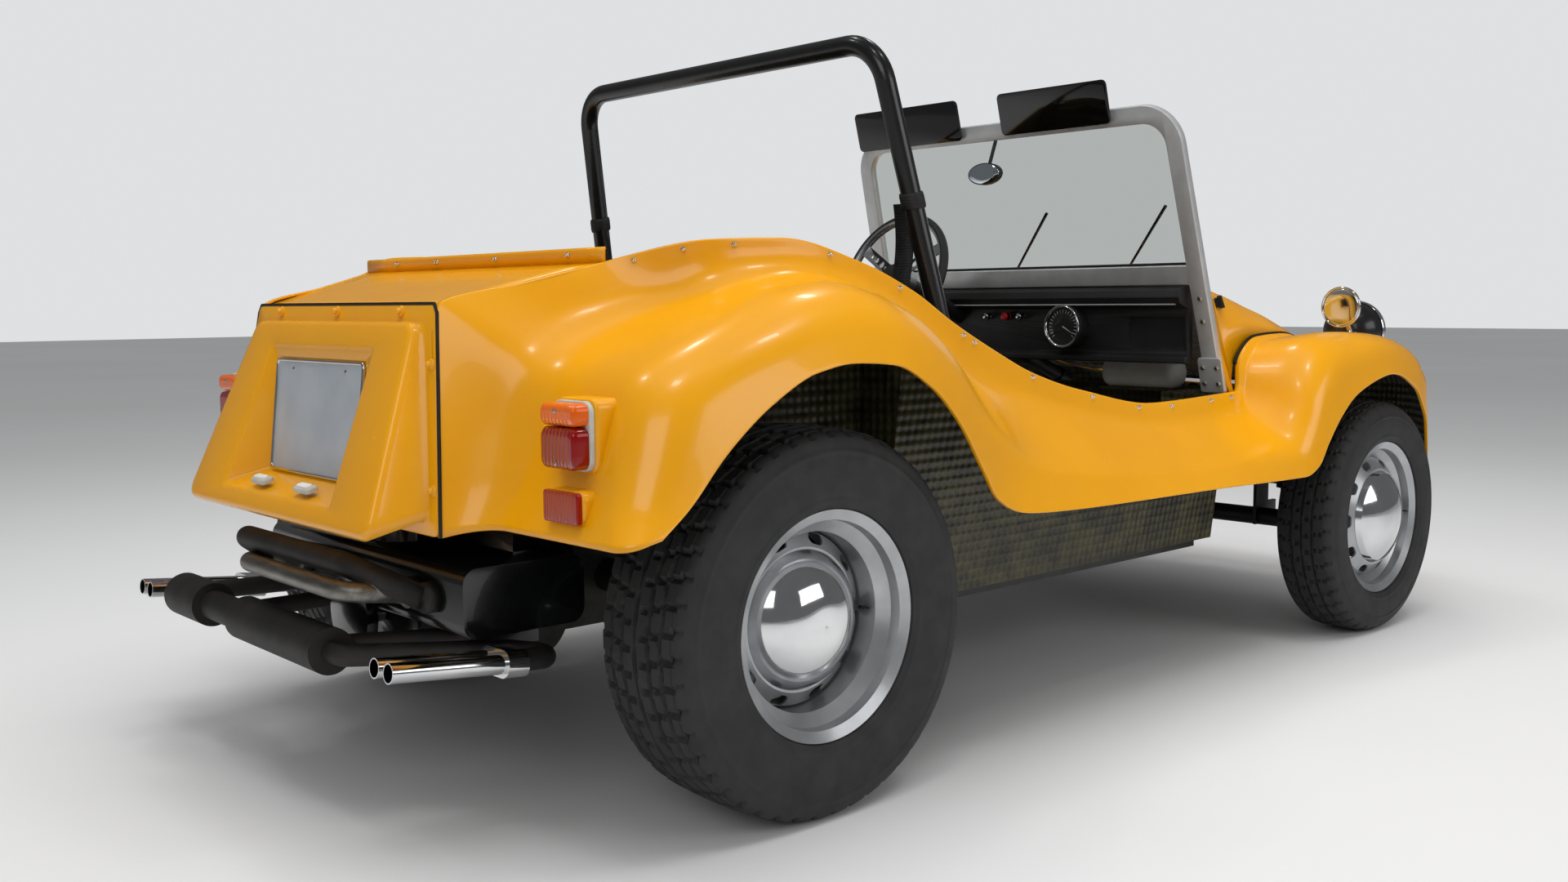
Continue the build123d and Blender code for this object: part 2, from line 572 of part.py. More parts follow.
with BuildPart() as instruments:
    with BuildSketch(Plane.YZ.offset(pod_rear_x + dial_recess - seat_gap)):
        with Locations((pod_y, pod_z)):
            Circle(dial_r - fit_gap)
    extrude(amount=-dial_t)
    for knob_y, knob_r in knob_rows:
        with BuildSketch(Plane.YZ.offset(dash_face_x - seat_gap)):
            with Locations((knob_y, knob_z)):
                Circle(knob_r)
        extrude(amount=-knob_length)
instruments.part.label = "instruments"
export_step(instruments.part, "parts/instruments.step")

# Seats: bucket shells on the floor, each with a seat and a back cushion
seat_y, seat_half_w, seat_t = 275, 205, 12
seat_floor_z = cabin_floor_z + tub_wall + fit_gap
seat_line = [(-22, seat_floor_z + 100), (-50, seat_floor_z + 30), (-440, seat_floor_z),
             (-492, seat_floor_z + 36),
             (-592, 850)]
seat_side = [(-22, seat_floor_z + 100), (-50, seat_floor_z + 30), (-440, seat_floor_z),
             (-492, seat_floor_z + 36),
             (-568, 720), (-505, 705), (-425, seat_floor_z + 190), (-70, seat_floor_z + 145)]
seat_inner = offset_line(seat_line, seat_t)
cushion_line = offset_line(seat_line, seat_t + seat_gap)
cushion_t, back_t = 70, 50
with BuildPart() as seat_shells:
    for side_y in (-seat_y, seat_y):
        with BuildSketch(Plane.XZ.offset(-side_y)):
            with BuildLine():
                Polyline(*seat_line, *reversed(seat_inner), close=True)
            make_face()
        extrude(amount=seat_half_w, both=True)
        for edge in (-1, 1):
            with BuildSketch(Plane.XZ.offset(-side_y - edge * (seat_half_w - seat_t / 2))):
                with BuildLine():
                    Polyline(*seat_side, close=True)
                make_face()
            extrude(amount=seat_t / 2, both=True)
seat_shells.part.label = "seat_shells"
export_step(seat_shells.part, "parts/seat_shells.step")

cushion_half_w = seat_half_w - seat_t - 2
with BuildPart() as seat_pads:
    for side_y in (-seat_y, seat_y):
        front, rear = Vector(*cushion_line[1]), Vector(*cushion_line[2])
        low, high = Vector(*cushion_line[3]), Vector(*cushion_line[4])
        along, up_back = (front - rear).normalized(), (high - low).normalized()
        rear, front = rear + along * 30, front - along * 4
        low, high = low + up_back * 75, high - up_back * 20
        with BuildSketch(Plane.XZ.offset(-side_y)):
            with BuildLine():
                Polyline((front.X, front.Y), (rear.X, rear.Y), (rear.X, rear.Y + cushion_t),
                         (front.X, front.Y + cushion_t), close=True)
            make_face()
            with BuildLine():
                Polyline((low.X, low.Y), (high.X, high.Y), (high.X + back_t, high.Y),
                         (low.X + back_t + 8, low.Y),
                         close=True)
            make_face()
        extrude(amount=cushion_half_w, both=True)
seat_pads.part.label = "seat_pads"
export_step(seat_pads.part, "parts/seat_pads.step")

# Rear bench: a seat and a back cushion in the rear well
bench_w, bench_depth, bench_t, bench_back_t, bench_back_h = 940, 330, 90, 55, 170
bench_floor_z = rear_floor_z + tub_wall + seat_gap
bench_wall_x = rear_well_x + tub_wall + seat_gap
bench_corner = 18
with BuildPart() as rear_bench:
    with BuildSketch(Plane.XZ):
        with Locations((bench_wall_x + bench_depth / 2, bench_floor_z + bench_t / 2)):
            Rectangle(bench_depth, bench_t)
        with Locations((bench_wall_x + bench_back_t / 2, bench_floor_z + bench_t + bench_back_h / 2)):
            Rectangle(bench_back_t, bench_back_h)
    extrude(amount=bench_w / 2, both=True)
    fillet(rear_bench.faces().sort_by(Axis.Z)[-1].edges(), radius=bench_corner)
rear_bench.part.label = "rear_bench"
export_step(rear_bench.part, "parts/rear_bench.step")

# Steering wheel with three drilled spokes, its column, a universal joint and the steering box
wheel_hub = Vector(205, 255, 984)
column_lean = 22
column_axis = Vector(cos(radians(column_lean)), 0, -sin(radians(column_lean)))
hand_rim_r, hand_grip_r = 188, 13
hub_r, hub_depth = 38, 55
spoke_w, spoke_t = 34, 4
spoke_turns = (0, 120, 240)
spoke_holes = ((72, 9), (100, 7.5), (126, 6))
wheel_plane = Plane(origin=wheel_hub, x_dir=(0, 1, 0), z_dir=column_axis * -1)
grip_plane = Plane(origin=wheel_hub, x_dir=(0, 1, 0),
                   z_dir=(sin(radians(column_lean)), 0, cos(radians(column_lean))))
with BuildPart() as steering_wheel:
    with BuildSketch(grip_plane):
        with Locations((hand_rim_r - hand_grip_r, 0)):
            Circle(hand_grip_r)
    revolve(axis=Axis(wheel_hub, column_axis))
    with BuildSketch(wheel_plane):
        Circle(hub_r)
    extrude(amount=-hub_depth)
    with BuildSketch(wheel_plane):
        with PolarLocations((hand_rim_r - hand_grip_r) / 2, len(spoke_turns), start_angle=-30):
            Rectangle(hand_rim_r - hand_grip_r, spoke_w)
        for hole_at, hole_r in spoke_holes:
            with PolarLocations(hole_at, len(spoke_turns), start_angle=-30):
                Circle(hole_r, mode=Mode.SUBTRACT)
    extrude(amount=-spoke_t)
steering_wheel.part.label = "steering_wheel"
export_step(steering_wheel.part, "parts/steering_wheel.step")

column_r, column_length = 22, 760
joint_r, joint_length, shaft_r = 26, 50, 10
column_start = wheel_hub + column_axis * (hub_depth + fit_gap)
column_end = column_start + column_axis * column_length
beam_x, beam_low_z, beam_high_z = 1165, 262, 390
beam_r, beam_w = 26, 440
steering_box = Vector(beam_x - 40, wheel_hub.Y, beam_high_z + beam_r + 50)
box_size = 70
with BuildPart() as steering_column:
    with BuildSketch(Plane(origin=column_start, z_dir=column_axis)):
        Circle(column_r)
    extrude(amount=column_length)
    with BuildSketch(Plane(origin=column_end, z_dir=column_axis)):
        Circle(joint_r)
    extrude(amount=joint_length)
    with BuildSketch(Plane(origin=column_end, z_dir=steering_box - column_end)):
        Circle(shaft_r)
    extrude(amount=(steering_box - column_end).length)
    with Locations((beam_x, steering_box.Y, beam_high_z + beam_r + seat_gap)):
        Box(2 * box_size, box_size, 100, align=(Align.CENTER, Align.CENTER, Align.MIN))
steering_column.part.label = "steering_column"
export_step(steering_column.part, "parts/steering_column.step")

for holder in (dashboard, cockpit_tub):
    with holder:
        with BuildSketch(Plane(origin=column_start, z_dir=column_axis)):
            Circle(column_r + fit_gap)
        extrude(amount=column_length, mode=Mode.SUBTRACT)
dashboard.part.label = "dashboard"
export_step(dashboard.part, "parts/dashboard.step")
cockpit_tub.part.label = "cockpit_tub"
export_step(cockpit_tub.part, "parts/cockpit_tub.step")

# Gear lever, hand brake and three floor pedals
lever_x, lever_r, lever_h, lever_foot_r, knob_ball_r = 80, 6, 330, 24, 22
pedal_places = (170, 260, 340)
pedal_half_w = 22
with BuildPart() as levers_and_pedals:
    with BuildSketch(Plane.XY.offset(seat_floor_z)):
        with Locations((lever_x, 0)):
            Circle(lever_foot_r)
    extrude(amount=12)
    with BuildSketch(Plane.XY.offset(seat_floor_z + 11)):
        with Locations((lever_x, 0)):
            Circle(lever_r)
    extrude(amount=lever_h)
    with Locations((lever_x, 0, seat_floor_z + lever_h + 20)):
        Sphere(knob_ball_r)
    for pedal_y in pedal_places:
        with BuildSketch(Plane.XZ.offset(-pedal_y)):
            with BuildLine():
                Polyline((610, seat_floor_z), (640, seat_floor_z), (650, 420), (610, 470), (596, 462),
                         (628, 410),
                         close=True)
            make_face()
        extrude(amount=pedal_half_w, both=True)
levers_and_pedals.part.label = "levers_and_pedals"
export_step(levers_and_pedals.part, "parts/levers_and_pedals.step")

# White washer bottle lying on a ledge in the right of the footwell
with BuildPart() as washer_bottle:
    with BuildSketch(Plane.XZ.offset(-bottle_y)):
        with Locations((bottle_x, bottle_ledge_z + seat_gap + bottle_h / 2)):
            RectangleRounded(bottle_w, bottle_h, bottle_h * 0.48)
    extrude(amount=bottle_length / 2, both=True)
    fillet(washer_bottle.faces().sort_by(Axis.Y)[-1].edges(), radius=bottle_h / 4)
    fillet(washer_bottle.faces().sort_by(Axis.Y)[0].edges(), radius=bottle_h / 4)
washer_bottle.part.label = "washer_bottle"
export_step(washer_bottle.part, "parts/washer_bottle.step")

# Floor pan with its tunnel, frame head and rear torsion tube
pan_low_z, pan_top_z = 276, cabin_floor_z - fit_gap
pan_rear_x, pan_front_x, pan_half_w = -760, 640, 540
pan_corner, pan_nose_w, pan_tail_w = 150, 380, 300
tunnel_w, tunnel_h = 65, 110
torsion_x, torsion_z, torsion_r, torsion_w = -800, 349, 38, 495
gearbox_front_x, gearbox_rear_x, gearbox_w = -910, -1250, 105
head_drop, head_t = 26, 28
with BuildPart() as floorpan:
    with BuildSketch(Plane.XY.offset(pan_low_z)):
        with BuildLine():
            Polyline((pan_rear_x, -pan_tail_w), (pan_rear_x + 70, -pan_half_w),
                     (pan_front_x - pan_corner, -pan_half_w),
                     (pan_front_x, -pan_nose_w), (pan_front_x, pan_nose_w),
                     (pan_front_x - pan_corner, pan_half_w),
                     (pan_rear_x + 70, pan_half_w), (pan_rear_x, pan_tail_w), close=True)
        make_face()
    extrude(amount=pan_top_z - pan_low_z)
    with BuildSketch(Plane.XY.offset(pan_low_z)):
        with Locations(((gearbox_front_x + fit_gap + pan_rear_x + 60) / 2, 0)):
            Rectangle(pan_rear_x + 60 - gearbox_front_x - fit_gap, 2 * tunnel_w)
    extrude(amount=tunnel_h)
    with BuildSketch(Plane.XZ.offset(-torsion_w)):
        with Locations((torsion_x, torsion_z)):
            Circle(torsion_r)
    extrude(amount=2 * torsion_w)
    with BuildSketch(Plane.XY.offset(pan_low_z - head_drop)):
        with Locations(((pan_front_x - 60 + beam_x - beam_r - fit_gap) / 2, 0)):
            Rectangle(beam_x - beam_r - fit_gap - pan_front_x + 60, 2 * tunnel_w)
    extrude(amount=head_t)
floorpan.part.label = "floorpan"
export_step(floorpan.part, "parts/floorpan.step")

# Front axle: twin torsion tubes, trailing arms with kingpin eyes, and shock towers
kingpin_w, kingpin_r = 585, 9
eye_r, eye_h = 20, 26
eye_low_z, eye_high_z = 242, 356
tower_w, tower_t, tower_top_z = 350, 10, 500
shock_r, front_shock_x, front_shock_w = 22, beam_x + 70, 400
with BuildPart() as front_axle:
    for beam_z in (beam_low_z, beam_high_z):
        with BuildSketch(Plane.XZ.offset(-beam_w)):
            with Locations((beam_x, beam_z)):
                Circle(beam_r)
        extrude(amount=2 * beam_w)
    for side_y in (-1, 1):
        for eye_z in (eye_low_z, eye_high_z):
            with BuildSketch(Plane.XY.offset(eye_z)):
                with BuildLine():
                    Polyline((beam_x + 20, side_y * (beam_w - 30)), (beam_x + 20, side_y * (beam_w + 10)),
                             (front_axle_x + 12, side_y * (kingpin_w + 12)),
                             (front_axle_x - 12, side_y * (kingpin_w - 12)),
                             (beam_x - 20, side_y * (beam_w - 30)), close=True)
                make_face()
                with Locations((front_axle_x, side_y * kingpin_w)):
                    Circle(eye_r)
                    Circle(kingpin_r + fit_gap, mode=Mode.SUBTRACT)
            extrude(amount=eye_h)
        with BuildSketch(Plane.XZ.offset(-side_y * tower_w)):
            with BuildLine():
                Polyline((beam_x - 35, 240), (beam_x + 35, 240), (beam_x + 35, beam_high_z + 20),
                         (front_shock_x + 25, tower_top_z - 20), (front_shock_x + 25, tower_top_z),
                         (beam_x - 35, tower_top_z), close=True)
            make_face()
        extrude(amount=tower_t / 2, both=True)
        for ledge_z in (tower_top_z - tower_t, eye_low_z + 4):
            with Locations((front_shock_x, side_y * (tower_w + front_shock_w + shock_r) / 2, ledge_z)):
                Box(50, front_shock_w + shock_r - tower_w + tower_t, tower_t,
                    align=(Align.CENTER, Align.CENTER, Align.MIN))
        with Locations((beam_x + 47, side_y * tower_w, eye_low_z + 4)):
            Box(66, tower_t, 60, align=(Align.CENTER, Align.CENTER, Align.MIN))
front_axle.part.label = "front_axle"
export_step(front_axle.part, "parts/front_axle.step")

# Wheels: one row for each axle
wheel_columns = ("name", "axle_x", "tyre_r", "tyre_width", "flange_w", "rim_width", "dish", "cap_rise")
wheel_rows = [
    ("front", front_axle_x, 316, 168, 772, 135, 12, 50),
    ("rear", rear_axle_x, 349, 232, 771, 200, 72, 64),
]
flange_r, bead_r, drop_r = 207.5, 190.5, 166
rim_t = 4
hub_bore_r = 22
stub_r = hub_bore_r - fit_gap
cap_r = 127
drum_r, drum_depth = 118, 56
slot_count, slot_at, slot_length, slot_width = 10, 147, 36, 20
drum_clearance = 5
plate_thickness = 5
knuckle_low_z, knuckle_high_z = eye_low_z + eye_h + 5, eye_high_z - 5

for name, axle_x, tyre_r, tyre_width, flange_w, rim_width, dish, cap_rise in wheel_rows:
    barrel = [(flange_r, -1), (bead_r, -10), (bead_r - 2, -30), (drop_r, -48), (drop_r, 48 - rim_width),
              (bead_r - 2, 30 - rim_width), (bead_r, 10 - rim_width), (flange_r, 1 - rim_width)]
    disc = [(drop_r - 2, -dish - 40), (158, -dish - 18), (cap_r + 4, -dish), (hub_bore_r, -dish)]
    with BuildPart() as rim:
        with BuildSketch(Plane.XY):
            with BuildLine():
                Polyline(*barrel, *reversed(offset_line(barrel, rim_t)), close=True)
            make_face()
            with BuildLine():
                Polyline(*disc, *reversed(offset_line(disc, -rim_t)), close=True)
            make_face()
            with BuildLine():
                Polyline((hub_bore_r, -dish - rim_t), (drum_r, -dish - rim_t),
                         (drum_r, -dish - rim_t - drum_depth), (hub_bore_r, -dish - rim_t - drum_depth),
                         close=True)
            make_face()
        revolve(axis=Axis.Y)
        with BuildSketch(Plane.XZ.offset(dish - 10)):
            with PolarLocations(slot_at, slot_count):
                SlotOverall(slot_length, slot_width, rotation=90)
        extrude(amount=60, mode=Mode.SUBTRACT)
    bulge = (tyre_width - rim_width) / 2
    side_r, tread_r = tyre_r - 62, tyre_r - 4
    with BuildPart() as tyre:
        with BuildSketch(Plane.XY):
            with BuildLine():
                Line((bead_r + 0.6, -12), (flange_r + 1.5, -2.5))
                ThreePointArc((flange_r + 1.5, -2.5), (side_r, bulge), (tyre_r - 16, bulge - 12))
                ThreePointArc((tyre_r - 16, bulge - 12), (tyre_r - 7, bulge - 20), (tread_r, bulge - 32))
                ThreePointArc((tread_r, bulge - 32), (tyre_r, -rim_width / 2),
                              (tread_r, -rim_width - bulge + 32))
                ThreePointArc((tread_r, -rim_width - bulge + 32), (tyre_r - 7, -rim_width - bulge + 20),
                              (tyre_r - 16, -rim_width - bulge + 12))
                ThreePointArc((tyre_r - 16, -rim_width - bulge + 12), (side_r, -rim_width - bulge),
                              (flange_r + 1.5, 2.5 - rim_width))
                Line((flange_r + 1.5, 2.5 - rim_width), (bead_r + 0.6, 12 - rim_width))
                Line((bead_r + 0.6, 12 - rim_width), (bead_r + 0.6, -12))
            make_face()
        revolve(axis=Axis.Y)
    with BuildPart() as cap:
        with BuildSketch(Plane.XY):
            with BuildLine():
                Line((0, -dish + fit_gap), (cap_r, -dish + fit_gap))
                Line((cap_r, -dish + fit_gap), (cap_r - 8, -dish + 14))
                ThreePointArc((cap_r - 8, -dish + 14), (78, -dish + cap_rise - 14), (1, -dish + cap_rise))
                Line((1, -dish + cap_rise), (0, -dish + cap_rise))
                Line((0, -dish + cap_rise), (0, -dish + fit_gap))
            make_face()
        revolve(axis=Axis.Y)
    for side_name, side_y in (("left", 1), ("right", -1)):
        for piece_name, piece in (("rim", rim.part), ("tyre", tyre.part), ("hub_cap", cap.part)):
            placed = piece if side_y == 1 else piece.mirror(Plane.XZ)
            placed = Pos(axle_x, side_y * flange_w, tyre_r) * placed
            placed.label = f"{piece_name}_{name}_{side_name}"
            export_step(placed, f"parts/{placed.label}.step")

# Steering knuckles: kingpin column, stub axle, brake plate and steering arm
front = wheel_rows[0]
front_wheel_z, front_flange_w, front_dish = front[2], front[4], front[6]
stub_end_w = front_flange_w - front_dish - 1
plate_w_out = front_flange_w - front_dish - rim_t - drum_depth - drum_clearance
arm_back, arm_in = 130, 40
arm_z = 412
arm_t = 12
for side_name, side_y in (("left", 1), ("right", -1)):
    with BuildPart() as knuckle:
        with BuildSketch(Plane.XY.offset(knuckle_low_z)):
            with Locations((front_axle_x, side_y * kingpin_w)):
                Circle(17)
        extrude(amount=knuckle_high_z - knuckle_low_z)
        with BuildSketch(Plane.XY.offset(eye_low_z)):
            with Locations((front_axle_x, side_y * kingpin_w)):
                Circle(kingpin_r)
        extrude(amount=eye_high_z + eye_h - eye_low_z)
        with BuildSketch(Plane.XZ.offset(-side_y * kingpin_w)):
            with Locations((front_axle_x, front_wheel_z)):
                Circle(stub_r)
        extrude(amount=-side_y * (stub_end_w - kingpin_w))
        with BuildSketch(Plane.XZ.offset(-side_y * plate_w_out)):
            with Locations((front_axle_x, front_wheel_z)):
                Circle(drum_r)
        extrude(amount=side_y * plate_thickness)
        with BuildSketch(Plane(origin=(front_axle_x, side_y * kingpin_w, 0),
                               x_dir=(-arm_back, -side_y * arm_in, 0),
                               z_dir=(-side_y * arm_in, arm_back, 0))):
            with BuildLine():
                Polyline((0, 300), (0, 336), (45, 344), (100, arm_z), (152, arm_z), (152, arm_z - arm_t),
                         (106, arm_z - arm_t), (60, 320), (40, 300), close=True)
            make_face()
        extrude(amount=9, both=True)
    knuckle.part.label = f"knuckle_{side_name}"
    export_step(knuckle.part, f"parts/{knuckle.part.label}.step")

# Tie rods: one bar across with an eye over each steering arm
rod_gap, rod_r, rod_eye_r, rod_eye_h = 6, 9, 17, 20
with BuildPart() as tie_rods:
    with BuildSketch(Plane.XZ.offset(kingpin_w - arm_in)):
        with Locations((front_axle_x - arm_back, arm_z + rod_gap + rod_eye_h / 2)):
            Circle(rod_r)
    extrude(amount=-2 * (kingpin_w - arm_in))
    with BuildSketch(Plane.XY.offset(arm_z + rod_gap)):
        with Locations((front_axle_x - arm_back, kingpin_w - arm_in),
                       (front_axle_x - arm_back, arm_in - kingpin_w)):
            Circle(rod_eye_r)
    extrude(amount=rod_eye_h)
tie_rods.part.label = "tie_rods"
export_step(tie_rods.part, "parts/tie_rods.step")

# Rear axle: swing tubes, brake plates, torsion tube and spring plates
rear = wheel_rows[1]
rear_wheel_z, rear_flange_w, rear_dish = rear[2], rear[4], rear[6]
rear_plate_w = rear_flange_w - rear_dish - rim_t - drum_depth - drum_clearance
rear_stub_end = rear_flange_w - rear_dish - 1
axle_tube_r = 34
spring_plate_t, spring_plate_h = 8, 60
spring_plate_w = torsion_w + seat_gap + spring_plate_t / 2
rear_shock_x, rear_shock_w, rear_shock_low_z, rear_shock_high_z = rear_axle_x - 60, 522, 300, 590
with BuildPart() as rear_axle:
    for side_y in (-1, 1):
        with BuildSketch(Plane.XZ.offset(-side_y * (gearbox_w + fit_gap))):
            with Locations((rear_axle_x, rear_wheel_z)):
                Circle(axle_tube_r)
        extrude(amount=-side_y * (rear_plate_w - gearbox_w - fit_gap))
        with BuildSketch(Plane.XZ.offset(-side_y * rear_plate_w)):
            with Locations((rear_axle_x, rear_wheel_z)):
                Circle(drum_r)
        extrude(amount=side_y * plate_thickness)
        with BuildSketch(Plane.XZ.offset(-side_y * (rear_plate_w - 20))):
            with Locations((rear_axle_x, rear_wheel_z)):
                Circle(stub_r)
        extrude(amount=-side_y * (rear_stub_end - rear_plate_w + 20))
        with Locations(((rear_axle_x + torsion_x) / 2, side_y * spring_plate_w, rear_wheel_z)):
            Box(torsion_x - rear_axle_x + 80, spring_plate_t, spring_plate_h)
        with Locations((rear_shock_x, side_y * rear_shock_w, rear_shock_low_z - 12)):
            Box(150, 44, 12, align=(Align.CENTER, Align.CENTER, Align.MIN))
        with Locations((rear_axle_x - 15, side_y * rear_shock_w, rear_shock_low_z - 12)):
            Box(24, 44, rear_wheel_z - rear_shock_low_z + 12, align=(Align.CENTER, Align.CENTER, Align.MIN))
rear_axle.part.label = "rear_axle"
export_step(rear_axle.part, "parts/rear_axle.step")

# Shock absorbers: a thick lower tube and a thinner upper one at each wheel
shock_rows = [
    (front_shock_x, front_shock_w, eye_low_z + 4 + tower_t + seat_gap, tower_top_z - tower_t - seat_gap),
    (rear_shock_x, rear_shock_w, rear_shock_low_z + seat_gap, rear_shock_high_z),
]
with BuildPart() as shock_absorbers:
    for shock_x, shock_w, low_z, high_z in shock_rows:
        for side_y in (-1, 1):
            with BuildSketch(Plane.XY.offset(low_z)):
                with Locations((shock_x, side_y * shock_w)):
                    Circle(shock_r)
            extrude(amount=(high_z - low_z) * 0.6)
            with BuildSketch(Plane.XY.offset(low_z)):
                with Locations((shock_x, side_y * shock_w)):
                    Circle(shock_r * 0.7)
            extrude(amount=high_z - low_z)
shock_absorbers.part.label = "shock_absorbers"
export_step(shock_absorbers.part, "parts/shock_absorbers.step")

# Gearbox: nose, ribbed case and bell housing
bell_r, bell_t, case_low_z, case_high_z, nose_r = 165, 70, 250, 440, 62
with BuildPart() as gearbox:
    with Locations(((gearbox_front_x + gearbox_rear_x + bell_t) / 2 - 20, 0, (case_low_z + case_high_z) / 2)):
        Box(gearbox_front_x - gearbox_rear_x - bell_t - 40, 2 * gearbox_w, case_high_z - case_low_z)
    with BuildSketch(Plane.YZ.offset(gearbox_front_x)):
        with Locations((0, rear_wheel_z - 10)):
            Circle(nose_r)
    extrude(amount=-60)
    with BuildSketch(Plane.YZ.offset(gearbox_rear_x)):
        with Locations((0, rear_wheel_z)):
            Circle(bell_r)
    extrude(amount=bell_t)
gearbox.part.label = "gearbox"
export_step(gearbox.part, "parts/gearbox.step")

# Engine: crankcase, cylinder banks in their tins, fan shroud, pulley and carburettor stack
engine_front_x = gearbox_rear_x - fit_gap
case_w, case_length = 150, 260
tin_front_x, tin_rear_x, tin_w, tin_low_z, tin_high_z, tin_corner = -1306, -1553, 395, 340, 464, 28
shroud_x, shroud_t, shroud_w, shroud_high_z = -1330, 130, 300, 760
pulley_x, pulley_r, pulley_t = -1575, 78, 22
stack_x, stack_r, stack_high_z = -1450, 62, 640
with BuildPart() as engine:
    with Locations((engine_front_x - case_length / 2, 0, 355)):
        Box(case_length, 2 * case_w, 210)
    with BuildSketch(Plane.XZ.offset(-tin_w)):
        with Locations(((tin_front_x + tin_rear_x) / 2, (tin_low_z + tin_high_z) / 2)):
            RectangleRounded(tin_front_x - tin_rear_x, tin_high_z - tin_low_z, tin_corner)
    extrude(amount=2 * tin_w)
    with BuildSketch(Plane.YZ.offset(shroud_x - shroud_t / 2)):
        with BuildLine():
            Line((-shroud_w, tin_high_z - 20), (shroud_w, tin_high_z - 20))
            Line((shroud_w, tin_high_z - 20), (shroud_w, shroud_high_z - 130))
            ThreePointArc((shroud_w, shroud_high_z - 130), (0, shroud_high_z), (-shroud_w, shroud_high_z - 130))
            Line((-shroud_w, shroud_high_z - 130), (-shroud_w, tin_high_z - 20))
        make_face()
    extrude(amount=shroud_t)
    with BuildSketch(Plane.YZ.offset(pulley_x)):
        with Locations((0, 330)):
            Circle(pulley_r)
    extrude(amount=pulley_t)
    with BuildSketch(Plane.YZ.offset(pulley_x)):
        with Locations((0, 330)):
            Circle(24)
    extrude(amount=engine_front_x - case_length + 20 - pulley_x)
    with BuildSketch(Plane.XY.offset(tin_high_z - 20)):
        with Locations((stack_x, 0)):
            Circle(stack_r)
    extrude(amount=stack_high_z - tin_high_z + 20)
engine.part.label = "engine"
export_step(engine.part, "parts/engine.step")

# Cross tubes behind the engine: left end, left bend, right bend and right end of each, and its radius
header_x, header_z = tin_rear_x - seat_gap, 404
collar_r, collar_t = 28, 20
upper_tube_back, lower_tube_back = 97, 129
upper_tube_x, lower_tube_x = tin_rear_x - upper_tube_back, tin_rear_x - lower_tube_back
cross_tube_rows = [
    (((header_x - collar_t, 310, header_z), (upper_tube_x, 372, 455), (upper_tube_x, -170, 455),
      (header_x - collar_t, -292, header_z)), 22),
    (((header_x - collar_t, 226, header_z), (lower_tube_x, 262, 418), (lower_tube_x, -216, 418),
      (header_x - collar_t, -228, header_z)), 18),
]
cross_bend = 55
with BuildPart() as exhaust_headers:
    for points, tube_r in cross_tube_rows:
        with BuildLine() as cross_path:
            FilletPolyline(*points, radius=cross_bend)
        with BuildSketch(Plane(origin=points[0], z_dir=Vector(*points[1]) - Vector(*points[0]))):
            Circle(tube_r)
        sweep(path=cross_path.line)
        with BuildSketch(Plane.YZ.offset(header_x)):
            with Locations(points[0][1:], points[-1][1:]):
                Circle(collar_r)
        extrude(amount=-collar_t)
exhaust_headers.part.label = "exhaust_headers"
export_step(exhaust_headers.part, "parts/exhaust_headers.step")

# Muffler across the tail: two cans, the neck between them, an inlet pipe from under each cylinder bank,
# and a bent pipe to each pair of tips, given by three points and its straight run into the tips' clamp
can_columns = ("low_y", "high_y", "radius")
can_rows = [(-149, 233, 43), (230, 402, 30), (400, 560, 45)]
muffler_gap = 84
muffler_x = tin_rear_x - muffler_gap - can_rows[0][2]
muffler_z = 302
pipe_r, pipe_bend = 20, 32
tip_rise = 6
tip_length, tip_r, tip_bore_r, tip_spread = 215, 17, 15, 24
tip_rows = ((-438, 330), (660, 306))
tip_axis = Vector(-cos(radians(tip_rise)), 0, sin(radians(tip_rise)))
clamp_r, clamp_length = 24, 34
pipe_rows = [
    ((muffler_x, -140, muffler_z), (muffler_x + 6, -186, 300), (-1440, -348, 298), 104),
    ((muffler_x, 552, muffler_z), (muffler_x + 10, 588, 298), (-1428, 584, 290), 54),
]
inlet_r, inlet_bend, inlet_x, inlet_top_z = 18, 30, -1440, tin_low_z - seat_gap
inlet_paths = [
    ((inlet_x, 300, inlet_top_z), (inlet_x, 300, muffler_z), (muffler_x, 300, muffler_z)),
    ((inlet_x, -215, inlet_top_z), (inlet_x, -215, muffler_z), (-1640, -110, muffler_z),
     (muffler_x, -110, muffler_z)),
]


def tip_root(tip_y, tip_z):
    """Middle of a pair of tips at its front end."""
    mouth = Vector(tail_x + tip_r * sin(radians(tip_rise)), tip_y, tip_z)
    return mouth - tip_axis * tip_length


with BuildPart() as muffler:
    for low_y, high_y, can_r in can_rows:
        with BuildSketch(Plane.XZ.offset(-low_y)):
            with Locations((muffler_x, muffler_z)):
                Circle(can_r)
        extrude(amount=low_y - high_y)
    for (start, leave, back, run), tip_row in zip(pipe_rows, tip_rows):
        root = tip_root(*tip_row) - tip_axis * (clamp_length + seat_gap)
        with BuildLine() as pipe_path:
            FilletPolyline(start, leave, back, root - tip_axis * run, root, radius=pipe_bend)
        with BuildSketch(Plane(origin=start, z_dir=Vector(*leave) - Vector(*start))):
            Circle(pipe_r)
        sweep(path=pipe_path.line)
    for points in inlet_paths:
        with BuildLine() as inlet_path:
            FilletPolyline(*points, radius=inlet_bend)
        with BuildSketch(Plane(origin=points[0], z_dir=(0, 0, -1))):
            Circle(inlet_r)
        sweep(path=inlet_path.line)
muffler.part.label = "muffler"
export_step(muffler.part, "parts/muffler.step")

